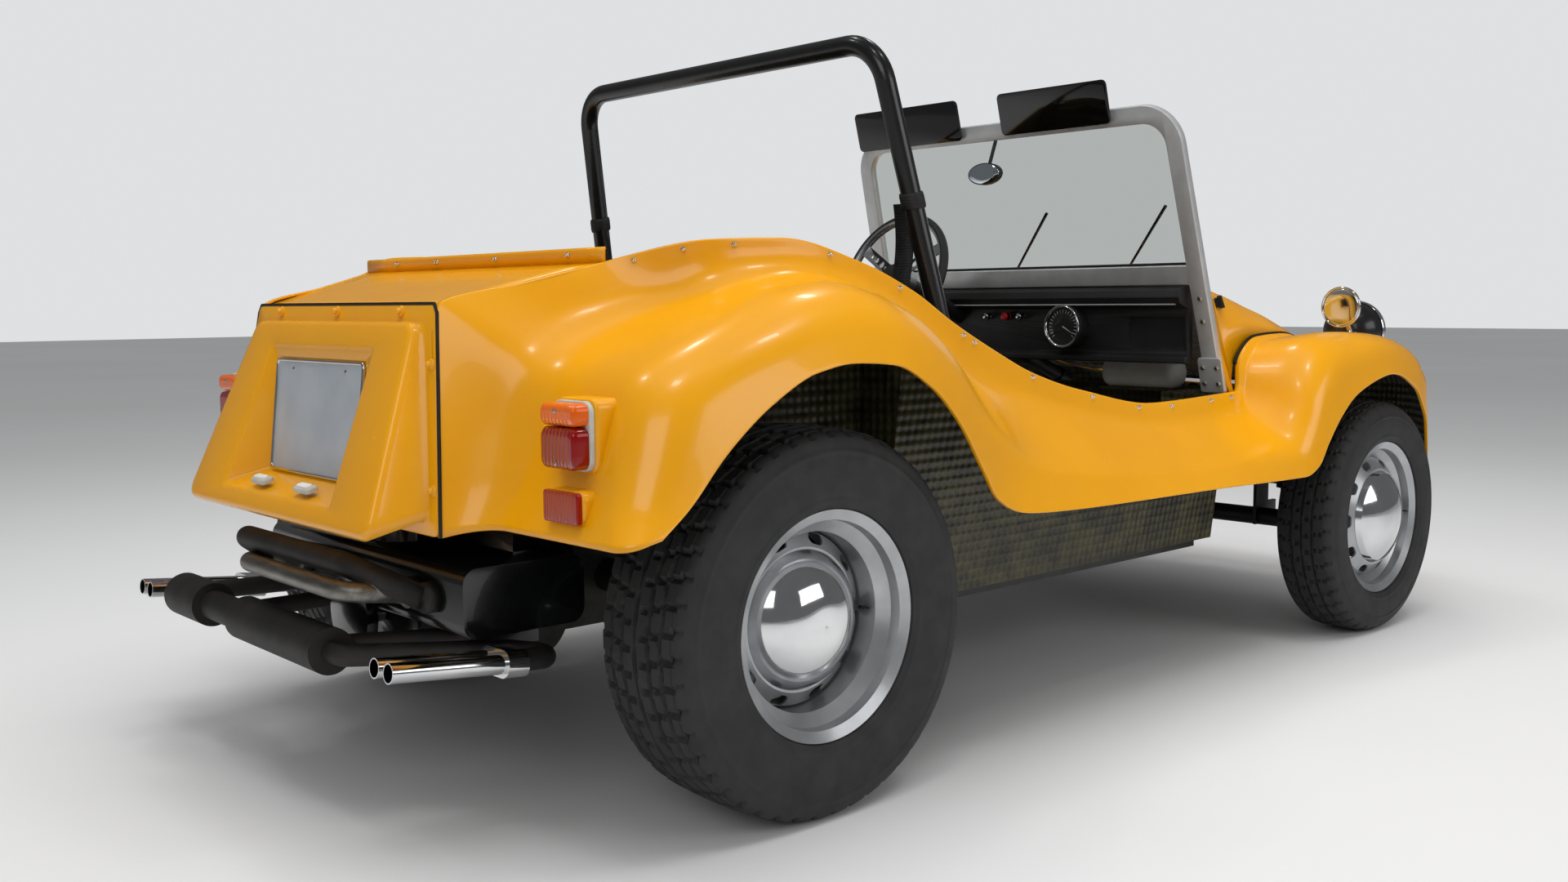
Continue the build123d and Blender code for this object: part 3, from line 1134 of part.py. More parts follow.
with BuildPart() as exhaust_tips:
    for tip_row in tip_rows:
        root = tip_root(*tip_row)
        for spread in (-tip_spread, tip_spread):
            with BuildSketch(Plane(origin=root + Vector(0, spread, 0), x_dir=(0, 1, 0), z_dir=tip_axis)):
                Circle(tip_r)
            extrude(amount=tip_length)
        with BuildSketch(Plane(origin=root - tip_axis * clamp_length, x_dir=(0, 1, 0), z_dir=tip_axis)):
            SlotOverall(2 * tip_spread + 2 * clamp_r, 2 * clamp_r)
        extrude(amount=clamp_length + 6)
        for spread in (-tip_spread, tip_spread):
            with BuildSketch(Plane(origin=root + Vector(0, spread, 0), x_dir=(0, 1, 0), z_dir=tip_axis)):
                Circle(tip_bore_r)
            extrude(amount=tip_length, mode=Mode.SUBTRACT)
exhaust_tips.part.label = "exhaust_tips"
export_step(exhaust_tips.part, "parts/exhaust_tips.step")

# Tail lamps on their pads: a flat base and a rounded lens; and the reflectors below
lens_t, lamp_base_t, lamp_w, lamp_h, lens_inset, lens_round = 32, 8, 104, 110, 3, 12
with BuildPart() as tail_lamps:
    for side_y in (-1, 1):
        pad_w, pad_z, pad_x = tail_lamp_pad[2], tail_lamp_pad[3], tail_lamp_pad[6]
        with BuildSketch(Plane.YZ.offset(pad_x - seat_gap)):
            with Locations((side_y * pad_w, pad_z)):
                RectangleRounded(lamp_w, lamp_h, 18)
        extrude(amount=-lamp_base_t)
        with BuildSketch(Plane.YZ.offset(pad_x - seat_gap - lamp_base_t)):
            with Locations((side_y * pad_w, pad_z)):
                RectangleRounded(lamp_w - 2 * lens_inset, lamp_h - 2 * lens_inset, 16)
        extrude(amount=-lens_t)
    for rear_face in tail_lamps.faces().group_by(Axis.X)[0]:
        fillet(rear_face.edges(), radius=lens_round)
tail_lamps.part.label = "tail_lamps"
export_step(tail_lamps.part, "parts/tail_lamps.step")

reflector_w, reflector_h, reflector_t = 94, 50, 10
with BuildPart() as tail_reflectors:
    for side_y in (-1, 1):
        with BuildSketch(Plane.YZ.offset(reflector_pad[6] - seat_gap)):
            with Locations((side_y * reflector_pad[2], reflector_pad[3])):
                RectangleRounded(reflector_w, reflector_h, 5)
        extrude(amount=-reflector_t)
tail_reflectors.part.label = "tail_reflectors"
export_step(tail_reflectors.part, "parts/tail_reflectors.step")

# Headlamps: round-backed bowls on short feet from the bonnet's shoulders, and domed lenses
lamp_x, lamp_mid_w, lamp_z, bowl_r = 1293, 560, 816, 84
rim_ring_r, rim_ring_t, lens_rise = 86, 16, 22
foot_w, foot_r = 500, 16
bonnet_low, bonnet_high = bonnet_stations[5], bonnet_stations[6]
foot_share = (lamp_x - 20 - bonnet_low[0]) / (bonnet_high[0] - bonnet_low[0])


def bonnet_flank_height(half_width, share):
    """Height of the bonnet's flank between two table rows at a half width."""
    heights = []
    for row in (bonnet_low, bonnet_high):
        seam_z, seam_w, top_z, shoulder_w = row[1], row[2], row[4], row[5]
        shoulder_z = seam_z + (top_z - seam_z) * row[6]
        heights.append(seam_z + (shoulder_z - seam_z) * (seam_w - half_width) / (seam_w - shoulder_w))
    return heights[0] + (heights[1] - heights[0]) * share


flank_drop = bonnet_flank_height(foot_w, foot_share) - bonnet_flank_height(foot_w + foot_r, foot_share)
foot_z = bonnet_flank_height(foot_w, foot_share) + flank_drop + 2.2
with BuildPart() as headlamp_shells:
    for side_y in (-1, 1):
        with BuildSketch(Plane.XY):
            with BuildLine():
                Line((0, 0), (bowl_r + rim_ring_t, 0))
                Line((bowl_r + rim_ring_t, 0), (bowl_r + rim_ring_t, rim_ring_r))
                Line((bowl_r + rim_ring_t, rim_ring_r), (bowl_r, rim_ring_r))
                Line((bowl_r, rim_ring_r), (bowl_r, bowl_r))
                ThreePointArc((bowl_r, bowl_r), (bowl_r * (1 - sqrt(0.5)), bowl_r * sqrt(0.5)), (0, 0))
            make_face()
        bowl = revolve(axis=Axis.X, mode=Mode.PRIVATE)
        add(Pos(lamp_x - bowl_r, side_y * lamp_mid_w, lamp_z) * bowl)
        with BuildSketch(Plane.XY.offset(foot_z)):
            with Locations((lamp_x - 20, side_y * foot_w)):
                Circle(foot_r)
        extrude(amount=lamp_z - 30 - foot_z)
headlamp_shells.part.label = "headlamp_shells"
export_step(headlamp_shells.part, "parts/headlamp_shells.step")

with BuildPart() as headlamp_lenses:
    for side_y in (-1, 1):
        with BuildSketch(Plane.YZ.offset(lamp_x + rim_ring_t + seat_gap)):
            with Locations((side_y * lamp_mid_w, lamp_z)):
                Circle(rim_ring_r - 6)
        with BuildSketch(Plane.YZ.offset(lamp_x + rim_ring_t + seat_gap + lens_rise)):
            with Locations((side_y * lamp_mid_w, lamp_z)):
                Circle(rim_ring_r - 42)
        loft()
headlamp_lenses.part.label = "headlamp_lenses"
export_step(headlamp_lenses.part, "parts/headlamp_lenses.step")

# Front indicators on the nose, square to its slanted front
indicator_w, indicator_z, indicator_r, indicator_t = 420, 560, 32, 22
indicator_gap = 0.8
outer_row, inner_row = nose_stations[3], nose_stations[4]


def nose_front(row, z):
    """Point of the nose's front line in a row of the nose table at a height below the knee."""
    share = (row[6] - z) / (row[6] - row[8])
    return Vector(row[1] + row[5] + (row[7] - row[5]) * share, row[0], z)


outer_point, inner_point = nose_front(outer_row, indicator_z), nose_front(inner_row, indicator_z)
indicator_share = (outer_row[0] - indicator_w) / (outer_row[0] - inner_row[0])
indicator_point = outer_point + (inner_point - outer_point) * indicator_share
nose_line = (inner_point - outer_point).normalized()
with BuildPart() as front_indicators:
    for side_y in (-1, 1):
        normal = Vector(-nose_line.Y, side_y * nose_line.X, 0)
        seat = Vector(indicator_point.X, side_y * indicator_point.Y, indicator_z) + normal * indicator_gap
        with BuildSketch(Plane(origin=seat, x_dir=(0, 0, 1), z_dir=normal)):
            Circle(indicator_r)
        extrude(amount=indicator_t)
front_indicators.part.label = "front_indicators"
export_step(front_indicators.part, "parts/front_indicators.step")

# Fender mirrors: a round bowl with a stalk down to the fender's crown
mirror_x, mirror_w, mirror_z, mirror_r, mirror_t = 1000, 665, 888, 55, 24
stalk_r, stalk_foot_r, stalk_foot_t = 6, 15, 6
mirror_row = side_stations[19]
mirror_foot = fender_point(mirror_row, mirror_w)
stalk_foot_z = mirror_foot.Z + (fender_point(mirror_row, mirror_w + stalk_foot_r).Z - mirror_foot.Z) - 1
with BuildPart() as fender_mirrors:
    for side_y in (-1, 1):
        with BuildSketch(Plane.YZ.offset(mirror_x)):
            with Locations((side_y * mirror_w, mirror_z)):
                Circle(mirror_r)
        with BuildSketch(Plane.YZ.offset(mirror_x + mirror_t)):
            with Locations((side_y * mirror_w, mirror_z)):
                Circle(mirror_r * 0.55)
        loft()
        foot = Vector(mirror_foot.X, side_y * mirror_w, stalk_foot_z)
        with BuildSketch(Plane.XY.offset(foot.Z)):
            with Locations((foot.X, foot.Y)):
                Circle(stalk_foot_r)
        extrude(amount=stalk_foot_t)
        head = Vector(mirror_x + mirror_t / 2, side_y * mirror_w, mirror_z - 12)
        base = foot + Vector(0, 0, stalk_foot_t / 2)
        with BuildSketch(Plane(origin=base, z_dir=head - base)):
            Circle(stalk_r)
        extrude(amount=(head - base).length)
fender_mirrors.part.label = "fender_mirrors"
export_step(fender_mirrors.part, "parts/fender_mirrors.step")

# Front bumper tube on two stays from the upper axle tube
bumper_r, bumper_z, bumper_w, bumper_stay_w = 21, 378, 520, 250
stay_w, stay_t, stay_z = 34, 8, 380
with BuildPart() as front_bumper:
    with BuildSketch(Plane.XZ.offset(-bumper_w)):
        with Locations((nose_x - bumper_r, bumper_z)):
            Circle(bumper_r)
    extrude(amount=2 * bumper_w)
    for side_y in (-1, 1):
        with BuildSketch(Plane.XY.offset(stay_z)):
            with Locations(((beam_x + beam_r + seat_gap + nose_x - bumper_r) / 2, side_y * bumper_stay_w)):
                Rectangle(nose_x - bumper_r - beam_x - beam_r - seat_gap, stay_w)
        extrude(amount=stay_t)
front_bumper.part.label = "front_bumper"
export_step(front_bumper.part, "parts/front_bumper.step")

# Bonnet hinge: pins under the front coaming, brackets on the body and hooked arms on the bonnet
hinge_x, hinge_z, hinge_w = 1500, 622, 96
pin_r, hinge_eye_r = 3, 6
bracket_t, arm_width, arm_strip = 12, 10, 8
arm_low_z, arm_rear_x, arm_high_z, arm_slope = 586, 1444, 685.1, 0.7
bracket_low_z, bracket_high_z = 612, 631.7
with BuildPart() as bonnet_hinge_brackets:
    for side_y in (-1, 1):
        with BuildSketch(Plane.XZ.offset(-side_y * hinge_w)):
            with BuildLine():
                Polyline((hinge_x - 14, bracket_low_z), (hinge_x + 8, bracket_low_z), (hinge_x + 8, hinge_z),
                         (hinge_x - 3, bracket_high_z), (hinge_x - 14, bracket_high_z), close=True)
            make_face()
            with Locations((hinge_x, hinge_z)):
                Circle(pin_r + fit_gap, mode=Mode.SUBTRACT)
        extrude(amount=side_y * bracket_t)
bonnet_hinge_brackets.part.label = "bonnet_hinge_brackets"
export_step(bonnet_hinge_brackets.part, "parts/bonnet_hinge_brackets.step")

with BuildPart() as bonnet_hinge_arms:
    for side_y in (-1, 1):
        with BuildSketch(Plane.XZ.offset(-side_y * (hinge_w + 1))):
            with BuildLine():
                Polyline((hinge_x - arm_strip / 2, hinge_z), (hinge_x - arm_strip / 2, arm_low_z + arm_strip),
                         (arm_rear_x + arm_strip, arm_low_z + arm_strip),
                         (arm_rear_x + arm_strip, arm_high_z - arm_slope * arm_strip),
                         (arm_rear_x, arm_high_z), (arm_rear_x, arm_low_z),
                         (hinge_x + arm_strip / 2, arm_low_z),
                         (hinge_x + arm_strip / 2, hinge_z), close=True)
            make_face()
            with Locations((hinge_x, hinge_z)):
                Circle(hinge_eye_r)
        extrude(amount=-side_y * arm_width)
        with BuildSketch(Plane.XZ.offset(-side_y * (hinge_w + 2))):
            with Locations((hinge_x, hinge_z)):
                Circle(pin_r)
        extrude(amount=side_y * (bracket_t + 4))
bonnet_hinge_arms.part.label = "bonnet_hinge_arms"
export_step(bonnet_hinge_arms.part, "parts/bonnet_hinge_arms.step")

# Bonnet latches: rubber T-handles on the bonnet's flanks, near its rear edge
latch_x, latch_z, latch_gap = 640, 902, 0.45
latch_plate_w, latch_plate_h, latch_plate_t = 42, 26, 5
latch_bar_w, latch_bar_h, latch_bar_t = 14, 34, 9


def flank_point(row, z):
    """Point of the bonnet's flank in a row of its table at a height."""
    seam_x, seam_z, seam_w, top_x, top_z, shoulder_w, shoulder_share = row[:7]
    share = (z - seam_z) / ((top_z - seam_z) * shoulder_share)
    return Vector(seam_x + (top_x - seam_x) * share * shoulder_share, seam_w + (shoulder_w - seam_w) * share, z)


latch_rear, latch_front = flank_point(bonnet_stations[0], latch_z), flank_point(bonnet_stations[1], latch_z)
latch_along = (latch_front - latch_rear).normalized()
latch_spot = latch_rear + latch_along * ((latch_x - latch_rear.X) / latch_along.X)
latch_below = flank_point(bonnet_stations[1], latch_z - 40)
latch_up = (latch_front - latch_below).normalized()
with BuildPart() as bonnet_latches:
    for side_y in (-1, 1):
        along = Vector(latch_along.X, side_y * latch_along.Y, latch_along.Z)
        upward = Vector(latch_up.X, side_y * latch_up.Y, latch_up.Z)
        normal = along.cross(upward).normalized()
        normal = normal if normal.Y * side_y > 0 else normal * -1
        spot = Vector(latch_spot.X, side_y * latch_spot.Y, latch_spot.Z) + normal * latch_gap
        latch_plane = Plane(origin=spot, x_dir=along, z_dir=normal)
        with BuildSketch(latch_plane):
            RectangleRounded(latch_plate_w, latch_plate_h, 5)
        extrude(amount=latch_plate_t)
        with BuildSketch(latch_plane.offset(latch_plate_t)):
            Rectangle(latch_bar_w, latch_bar_h)
        extrude(amount=latch_bar_t)
bonnet_latches.part.label = "bonnet_latches"
export_step(bonnet_latches.part, "parts/bonnet_latches.step")

# Plate lamps on the floor of the recess
plate_lamp_y, plate_lamp_w, plate_lamp_d, plate_lamp_h = 95, 60, 26, 14
plate_lamp_at, plate_lamp_drop = plate_depth + 55, 17.1
with BuildPart() as plate_lamps:
    for side_y in (-1, 1):
        with BuildSketch(seam_plane.offset(plate_lamp_at - plate_lamp_d / 2)):
            with Locations((side_y * plate_lamp_y, recess_floor - plate_lamp_drop + plate_lamp_h / 2)):
                RectangleRounded(plate_lamp_w, plate_lamp_h, 4)
        extrude(amount=plate_lamp_d)
plate_lamps.part.label = "plate_lamps"
export_step(plate_lamps.part, "parts/plate_lamps.step")
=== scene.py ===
import json
import math

import bmesh
import bpy
import numpy as np
from mathutils import Matrix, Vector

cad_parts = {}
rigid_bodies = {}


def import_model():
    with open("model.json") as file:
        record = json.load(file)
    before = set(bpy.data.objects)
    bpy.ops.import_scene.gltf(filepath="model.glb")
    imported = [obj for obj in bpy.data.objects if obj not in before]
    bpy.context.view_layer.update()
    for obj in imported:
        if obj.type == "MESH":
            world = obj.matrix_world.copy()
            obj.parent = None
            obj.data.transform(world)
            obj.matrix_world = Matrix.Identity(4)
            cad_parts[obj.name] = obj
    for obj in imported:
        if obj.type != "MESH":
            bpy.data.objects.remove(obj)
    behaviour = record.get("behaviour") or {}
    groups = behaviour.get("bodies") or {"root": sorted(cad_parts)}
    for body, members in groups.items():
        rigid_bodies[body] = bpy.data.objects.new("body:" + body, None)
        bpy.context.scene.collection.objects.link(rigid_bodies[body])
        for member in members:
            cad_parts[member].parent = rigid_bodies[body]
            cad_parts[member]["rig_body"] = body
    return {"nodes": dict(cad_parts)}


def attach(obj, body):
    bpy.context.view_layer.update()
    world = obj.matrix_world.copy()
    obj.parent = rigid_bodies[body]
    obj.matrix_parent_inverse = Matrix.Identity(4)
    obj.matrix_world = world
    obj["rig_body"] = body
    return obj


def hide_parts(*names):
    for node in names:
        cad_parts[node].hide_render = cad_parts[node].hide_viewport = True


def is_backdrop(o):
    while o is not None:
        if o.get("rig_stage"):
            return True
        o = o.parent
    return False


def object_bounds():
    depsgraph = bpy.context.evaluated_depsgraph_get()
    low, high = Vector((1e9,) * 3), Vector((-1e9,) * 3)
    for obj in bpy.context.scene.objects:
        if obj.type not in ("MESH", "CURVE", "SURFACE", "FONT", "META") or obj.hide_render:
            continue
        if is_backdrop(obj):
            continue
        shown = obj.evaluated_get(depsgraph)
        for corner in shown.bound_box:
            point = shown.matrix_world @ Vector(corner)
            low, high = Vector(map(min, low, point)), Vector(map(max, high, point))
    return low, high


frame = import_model()
nodes = frame["nodes"]
cad_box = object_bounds()
MM = 0.001
other_side = np.array([1, -1, 1])
ahead, astern = (1, 0, 0), (-1, 0, 0)
leftward, upward = (0, 1, 0), (0, 0, 1)
hands = ((-1, "right"), (1, "left"))

# Camera: place and directions of the photographed view, with the lens for a 36 mm wide sensor
camera_place = (-2.7513, -2.5278, 0.9136)
camera_right = (0.7395, -0.6731, -0.0076)
camera_up = (0.0711, 0.0667, 0.9952)
camera_forward = (0.6694, 0.7365, -0.0972)
camera_lens = 32.69

# Body side, from the tail to the front arch: coaming edge, lip, crease and knee as in the part's source
side_stations = np.array([
    (-1609, 530, 430, -1470, 560, 850, 70, 462, 74, 842, 65),
    (-1596, 640, 412, -1418, 600, 850, 96, 452, 96, 812, 130),
    (-1567, 913, 368, -1340, 680, 850, 170, 492, 176, 808, 140),
    (-1420, 952, 410, -1247, 750, 850, 117, 470, 132, 812, 160),
    (-1300, 983, 452, -1148, 797, 850, 94, 530, 116, 806, 170),
    (-1160, 1024, 585, -1060, 810, 850, 80, 600, 104, 800, 190),
    (-1010, 1029, 618, -965, 804, 850, 63, 622, 90, 800, 190),
    (-830, 990, 628, -868, 762, 848, 55, 640, 92, 798, 180),
    (-680, 932, 634, -785, 690, 845, 73, 644, 121, 795, 160),
    (-570, 872, 636, -718, 604, 840, 86, 644, 163, 790, 150),
    (-445, 815, 634, -662, 537, 836, 78, 644, 218, 785, 140),
    (-300, 758, 630, -580, 505, 832, 68, 644, 258, 785, 120),
    (-130, 715, 626, -400, 492, 822, 62, 642, 251, 780, 100),
    (200, 667, 618, 200, 477, 800, 52, 640, 150, 764, 100),
    (520, 674, 608, 590, 468, 795, 62, 628, 155, 765, 100),
    (612, 676, 586, 655, 488, 794, 22, 602, 72, 770, 110),
    (655, 757, 566, 705, 544, 793, 20, 582, 50, 770, 120),
    (760, 812, 556, 775, 611, 792, 8, 566, -2, 765, 130),
    (900, 818, 552, 866, 664, 790, 10, 562, -22, 760, 120),
    (1060, 784, 550, 1060, 706, 788, 8, 560, -54, 755, 90),
    (1230, 736, 545, 1210, 664, 785, 8, 555, -88, 750, 90),
    (1340, 702, 535, 1296, 580, 780, 8, 545, -75, 742, 100),
    (1385, 690, 528, 1385, 400, 748, 8, 540, -58, 722, 110),
], float)
# Nose: half width and x of the fold, turn in degrees, top distance and height, knee, lip, knee radius
nose_stations = np.array([
    (514, 1385, 0, 14, 690, 208, 748, 234, 400, 110),
    (514, 1385, 30, 14, 690, 164, 734, 174, 400, 90),
    (514, 1385, 60, 14, 690, 130, 712, 126, 398, 80),
    (514, 1385, 90, 14, 690, 124, 690, 120, 396, 80),
    (300, 1456, 90, 14, 650, 112, 645, 102, 390, 70),
    (0, 1496, 90, 14, 632, 110, 620, 94, 386, 60),
], float)
# Bonnet: seam point, crown point, shoulder half width, share of the rise and radius
bonnet_stations = np.array([
    (604, 676, 568, 620, 962, 497, 0.94, 60),
    (655, 757, 548, 668, 952, 486, 0.92, 55),
    (760, 812, 538, 770, 930, 468, 0.88, 50),
    (900, 818, 534, 905, 896, 455, 0.82, 45),
    (1060, 784, 532, 1062, 846, 455, 0.80, 40),
    (1230, 736, 527, 1231, 786, 455, 0.78, 35),
    (1385, 690, 510, 1386, 722, 440, 0.76, 25),
    (1440, 669, 345, 1441, 694, 290, 0.76, 18),
    (1474, 654, 190, 1475, 670, 140, 0.76, 12),
    (1490, 648, 60, 1491, 657, 40, 0.76, 5),
], float)
scuttle_stations = np.array([
    (572, 668, 588, 500, 972, 505, 0.94, 60),
    (598, 668, 582, 614, 964, 498, 0.94, 60),
], float)
gelcoat_wall = 5
hem = 12


# Surfaces: every new piece is one or more grids of points, worked out as whole arrays in millimetres

def unit(v):
    """Vectors divided by their lengths."""
    return v / np.maximum(np.linalg.norm(v, axis=-1, keepdims=True), 1e-9)


def carried(rows, spacing, steps):
    """Rows of numbers carried smoothly through all given rows: cubic spans over the distance between rows,
    with the weighted harmonic mean of the two neighbouring slopes as slope, so that nothing overshoots."""
    n = len(rows)
    flat = rows.reshape(n, -1)
    t = np.concatenate([[0], np.cumsum(spacing)])
    h = np.diff(t)[:, None]
    slope = np.diff(flat, axis=0) / h
    w1, w2 = 2 * h[1:] + h[:-1], h[1:] + 2 * h[:-1]
    same = slope[:-1] * slope[1:] > 0
    safe0 = np.where(same, slope[:-1], 1)
    safe1 = np.where(same, slope[1:], 1)
    inner = np.where(same, (w1 + w2) / (w1 / safe0 + w2 / safe1), 0)
    m = np.concatenate([slope[:1], inner, slope[-1:]])
    s = np.linspace(0, 1, steps, endpoint=False)[None, :, None]
    a, b = flat[:-1, None], flat[1:, None]
    ma, mb = m[:-1, None] * h[:, None], m[1:, None] * h[:, None]
    out = ((2 * s**3 - 3 * s**2 + 1) * a + (s**3 - 2 * s**2 + s) * ma
           + (3 * s**2 - 2 * s**3) * b + (s**3 - s**2) * mb)
    out = np.concatenate([out.reshape(-1, flat.shape[1]), flat[-1:]])
    return out.reshape((len(out),) + rows.shape[1:])


def rounded(line, radii, shares, legs, arcs, closed=False):
    """Rows of corner points made smooth: each corner becomes the arc that touches both of its legs. The run
    along a leg is the radius over the tangent of half the angle, kept under a share of each leg."""
    line = np.asarray(line, float)
    n, k, _ = line.shape
    radii = np.broadcast_to(np.asarray(radii, float), (n, k))
    shares = np.broadcast_to(np.asarray(shares, float), (k, 2))
    before, after = np.roll(line, 1, 1) - line, np.roll(line, -1, 1) - line
    a, b = unit(before), unit(after)
    half = np.clip(np.arccos(np.clip((a * b).sum(-1), -1, 1)) / 2, 0.02, math.pi / 2 - 1e-4)
    run = np.minimum(radii / np.tan(half), np.linalg.norm(before, axis=-1) * shares[:, 0])
    run = np.minimum(run, np.linalg.norm(after, axis=-1) * shares[:, 1])[..., None]
    start, end = line + a * run, line + b * run
    centre = line + unit(a + b) * run / np.cos(half)[..., None]
    turn = (math.pi - 2 * half)[..., None, None]
    s = np.linspace(0, 1, arcs)[None, None, :, None]
    arc = (np.sin((1 - s) * turn) * (start - centre)[:, :, None]
           + np.sin(s * turn) * (end - centre)[:, :, None]) / np.sin(turn) + centre[:, :, None]
    corners = range(k) if closed else range(1, k - 1)
    last = end[:, -1] if closed else line[:, 0]
    pieces = [] if closed else [line[:, :1]]
    for i in corners:
        s_leg = np.linspace(0, 1, legs[i] + 2)[1:-1][None, :, None]
        pieces.append(last[:, None] * (1 - s_leg) + start[:, i][:, None] * s_leg)
        pieces.append(arc[:, i])
        last = end[:, i]
    if not closed:
        s_leg = np.linspace(0, 1, legs[-1] + 2)[1:][None, :, None]
        pieces.append(last[:, None] * (1 - s_leg) + line[:, -1][:, None] * s_leg)
    return np.concatenate(pieces, axis=1)


def ring(sides, radius=1.0):
    """Points of a circle in the plane, all round once."""
    turn = np.linspace(0, 2 * math.pi, sides, endpoint=False)
    return radius * np.stack([np.cos(turn), np.sin(turn)], -1)


def turned(profile, sides, centre, axis, across):
    """Grid made by turning a profile of (distance along the axis, radius) once round an axis."""
    axis, across = unit(np.array(axis, float)), unit(np.array(across, float))
    third = np.cross(axis, across)
    profile = np.asarray(profile, float)
    circle = ring(sides)
    out = circle[:, :1] * across + circle[:, 1:] * third
    return np.array(centre, float) + profile[None, :, :1] * axis + profile[None, :, 1:] * out[:, None]


def tube(path, radius, sides=12, over=(0, 0, 1), flat=1.0):
    """Grid of a tube: at each point of the path a circle square to it, one of its diameters level with over;
    flat under 1 turns the circle into an upright oval strip."""
    path = np.asarray(path, float)
    along = unit(np.gradient(path, axis=0))
    side = unit(np.cross(along, np.array(over, float)))
    rise = np.cross(side, along)
    circle = ring(sides)
    radius = np.broadcast_to(radius, (len(path),))[:, None, None]
    return (path[:, None] + radius * (circle[None, :, :1] * side[:, None] * flat
                                      + circle[None, :, 1:] * rise[:, None])).transpose(1, 0, 2)


def mesh_piece(name, grids, material, body, node=(), slot=None, wall=0.0, bevel=0.0, sharp=30.0, weld=True,
               inside=None, crisp=0):
    """One object from grids of points in millimetres. A grid is (points, flipped, closed over its rows,
    closed over its columns); a wall is added inward, and sharp edges are rounded by the bevel."""
    verts, faces, count = [], [], 0
    for points, flipped, close_u, close_v in grids:
        nu, nv = points.shape[:2]
        index = np.arange(nu * nv).reshape(nu, nv) + count
        if close_u:
            index = np.concatenate([index, index[:1]], 0)
        if close_v:
            index = np.concatenate([index, index[:, :1]], 1)
        quad = np.stack([index[:-1, :-1], index[1:, :-1], index[1:, 1:], index[:-1, 1:]], -1).reshape(-1, 4)
        faces.append(quad[:, ::-1] if flipped else quad)
        verts.append(points.reshape(-1, 3))
        count += nu * nv
    verts, faces = np.concatenate(verts) * MM, np.concatenate(faces)
    mesh = bpy.data.meshes.new(name)
    mesh.from_pydata(verts, [], faces)
    mesh.update()
    if weld:
        work = bmesh.new()
        work.from_mesh(mesh)
        bmesh.ops.remove_doubles(work, verts=work.verts, dist=0.00002)
        bmesh.ops.dissolve_degenerate(work, edges=work.edges, dist=0.00001)
        work.to_mesh(mesh)
        work.free()
    mesh.shade_smooth()
    if crisp:
        mesh.set_sharp_from_angle(angle=math.radians(crisp))
    return dressed(bpy.data.objects.new(name, mesh), material, body, node, wall, bevel, sharp, inside)


def dressed(piece, material, body, node, wall=0.0, bevel=0.0, sharp=30.0, inside=None):
    """Link a piece, give it its material, body and modifiers, and let it stand for its solids."""
    bpy.context.scene.collection.objects.link(piece)
    piece.data.materials.clear()
    piece.data.materials.append(material)
    if inside is not None:
        piece.data.materials.append(inside)
    if wall:
        solid = piece.modifiers.new("wall", "SOLIDIFY")
        solid.thickness = wall * MM
        solid.offset = -1
        solid.material_offset = 0 if inside is None else 1
    if bevel:
        edge = piece.modifiers.new("edge", "BEVEL")
        edge.width = bevel * MM
        edge.segments = 2
        edge.limit_method = "ANGLE"
        edge.angle_limit = math.radians(sharp)
        edge.harden_normals = True
    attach(piece, body)
    if node:
        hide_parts(*([node] if isinstance(node, str) else node))
    return piece


def softened(node, material, bevel, sharp=28.0):
    """The solid's own mesh as a new piece, merged, with its flat faces whole and its edges rounded."""
    mesh = nodes[node].data.copy()
    work = bmesh.new()
    work.from_mesh(mesh)
    bmesh.ops.remove_doubles(work, verts=work.verts, dist=0.00002)
    bmesh.ops.dissolve_limit(work, angle_limit=math.radians(0.6), verts=work.verts, edges=work.edges)
    work.to_mesh(mesh)
    work.free()
    mesh.shade_smooth()
    body = nodes[node]["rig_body"]
    return dressed(bpy.data.objects.new(node + "_finished", mesh), material, body, node, 0, bevel,
                   sharp)


def painted(material, *names):
    """Give solids that keep their own shape a finish."""
    for name in names:
        for place in nodes[name].material_slots:
            place.material = material


def on_other_side(grids):
    """The grids mirrored across the car's middle plane, with their faces turned back outward."""
    return [(points * other_side, not flipped, close_u, close_v) for points, flipped, close_u,
            close_v in grids]


def joined(name, grids, material, body, **options):
    """A piece and its mirror image on the other side as one object."""
    return mesh_piece(name, grids + on_other_side(grids), material, body, **options)


def lathed(name, profile, sides, centre, axis, across, finish, body, **options):
    """One piece from a profile of (distance along the axis, radius) turned once round the axis."""
    grid = turned(profile, sides, centre, axis, across)
    return mesh_piece(name, [(grid, False, True, False)], finish, body, **options)


def studs(places, normals, radius, rise, sides=14):
    """Grids of small domes: for each place a quarter arc turned once round the surface's normal."""
    lift = np.linspace(0, math.pi / 2, 5)
    around = ring(sides)
    grids = []
    for place, normal in zip(np.asarray(places, float), unit(np.asarray(normals, float))):
        side = unit(np.cross(normal, (0.31, 0.17, 0.93)))
        third = np.cross(normal, side)
        out = around[:, :1] * side + around[:, 1:] * third
        dome = (place + radius * np.cos(lift)[None, :, None] * out[:, None]
                + rise * np.sin(lift)[None, :, None] * normal)
        skirt = dome[:, :1] - normal * 2
        grids.append((np.concatenate([skirt, dome], 1), False, True, False))
    return grids


def hex_heads(places, normals, radius, rise):
    """Grids of hexagon bolt heads: a six-sided ring, its chamfered top and the middle of its face."""
    around = ring(6)
    grids = []
    for place, normal in zip(np.asarray(places, float), unit(np.asarray(normals, float))):
        side = unit(np.cross(normal, (0.31, 0.17, 0.93)))
        out = around[:, :1] * side + around[:, 1:] * np.cross(normal, side)
        rings = [(1.0, -1.0), (1.0, rise * 0.8), (0.86, rise), (0.02, rise)]
        head = np.stack([place + out * radius * share + normal * height for share, height in rings], 1)
        grids.append((head, False, True, False))
    return grids


# Materials: each starts from what the real one is and how its surface was made

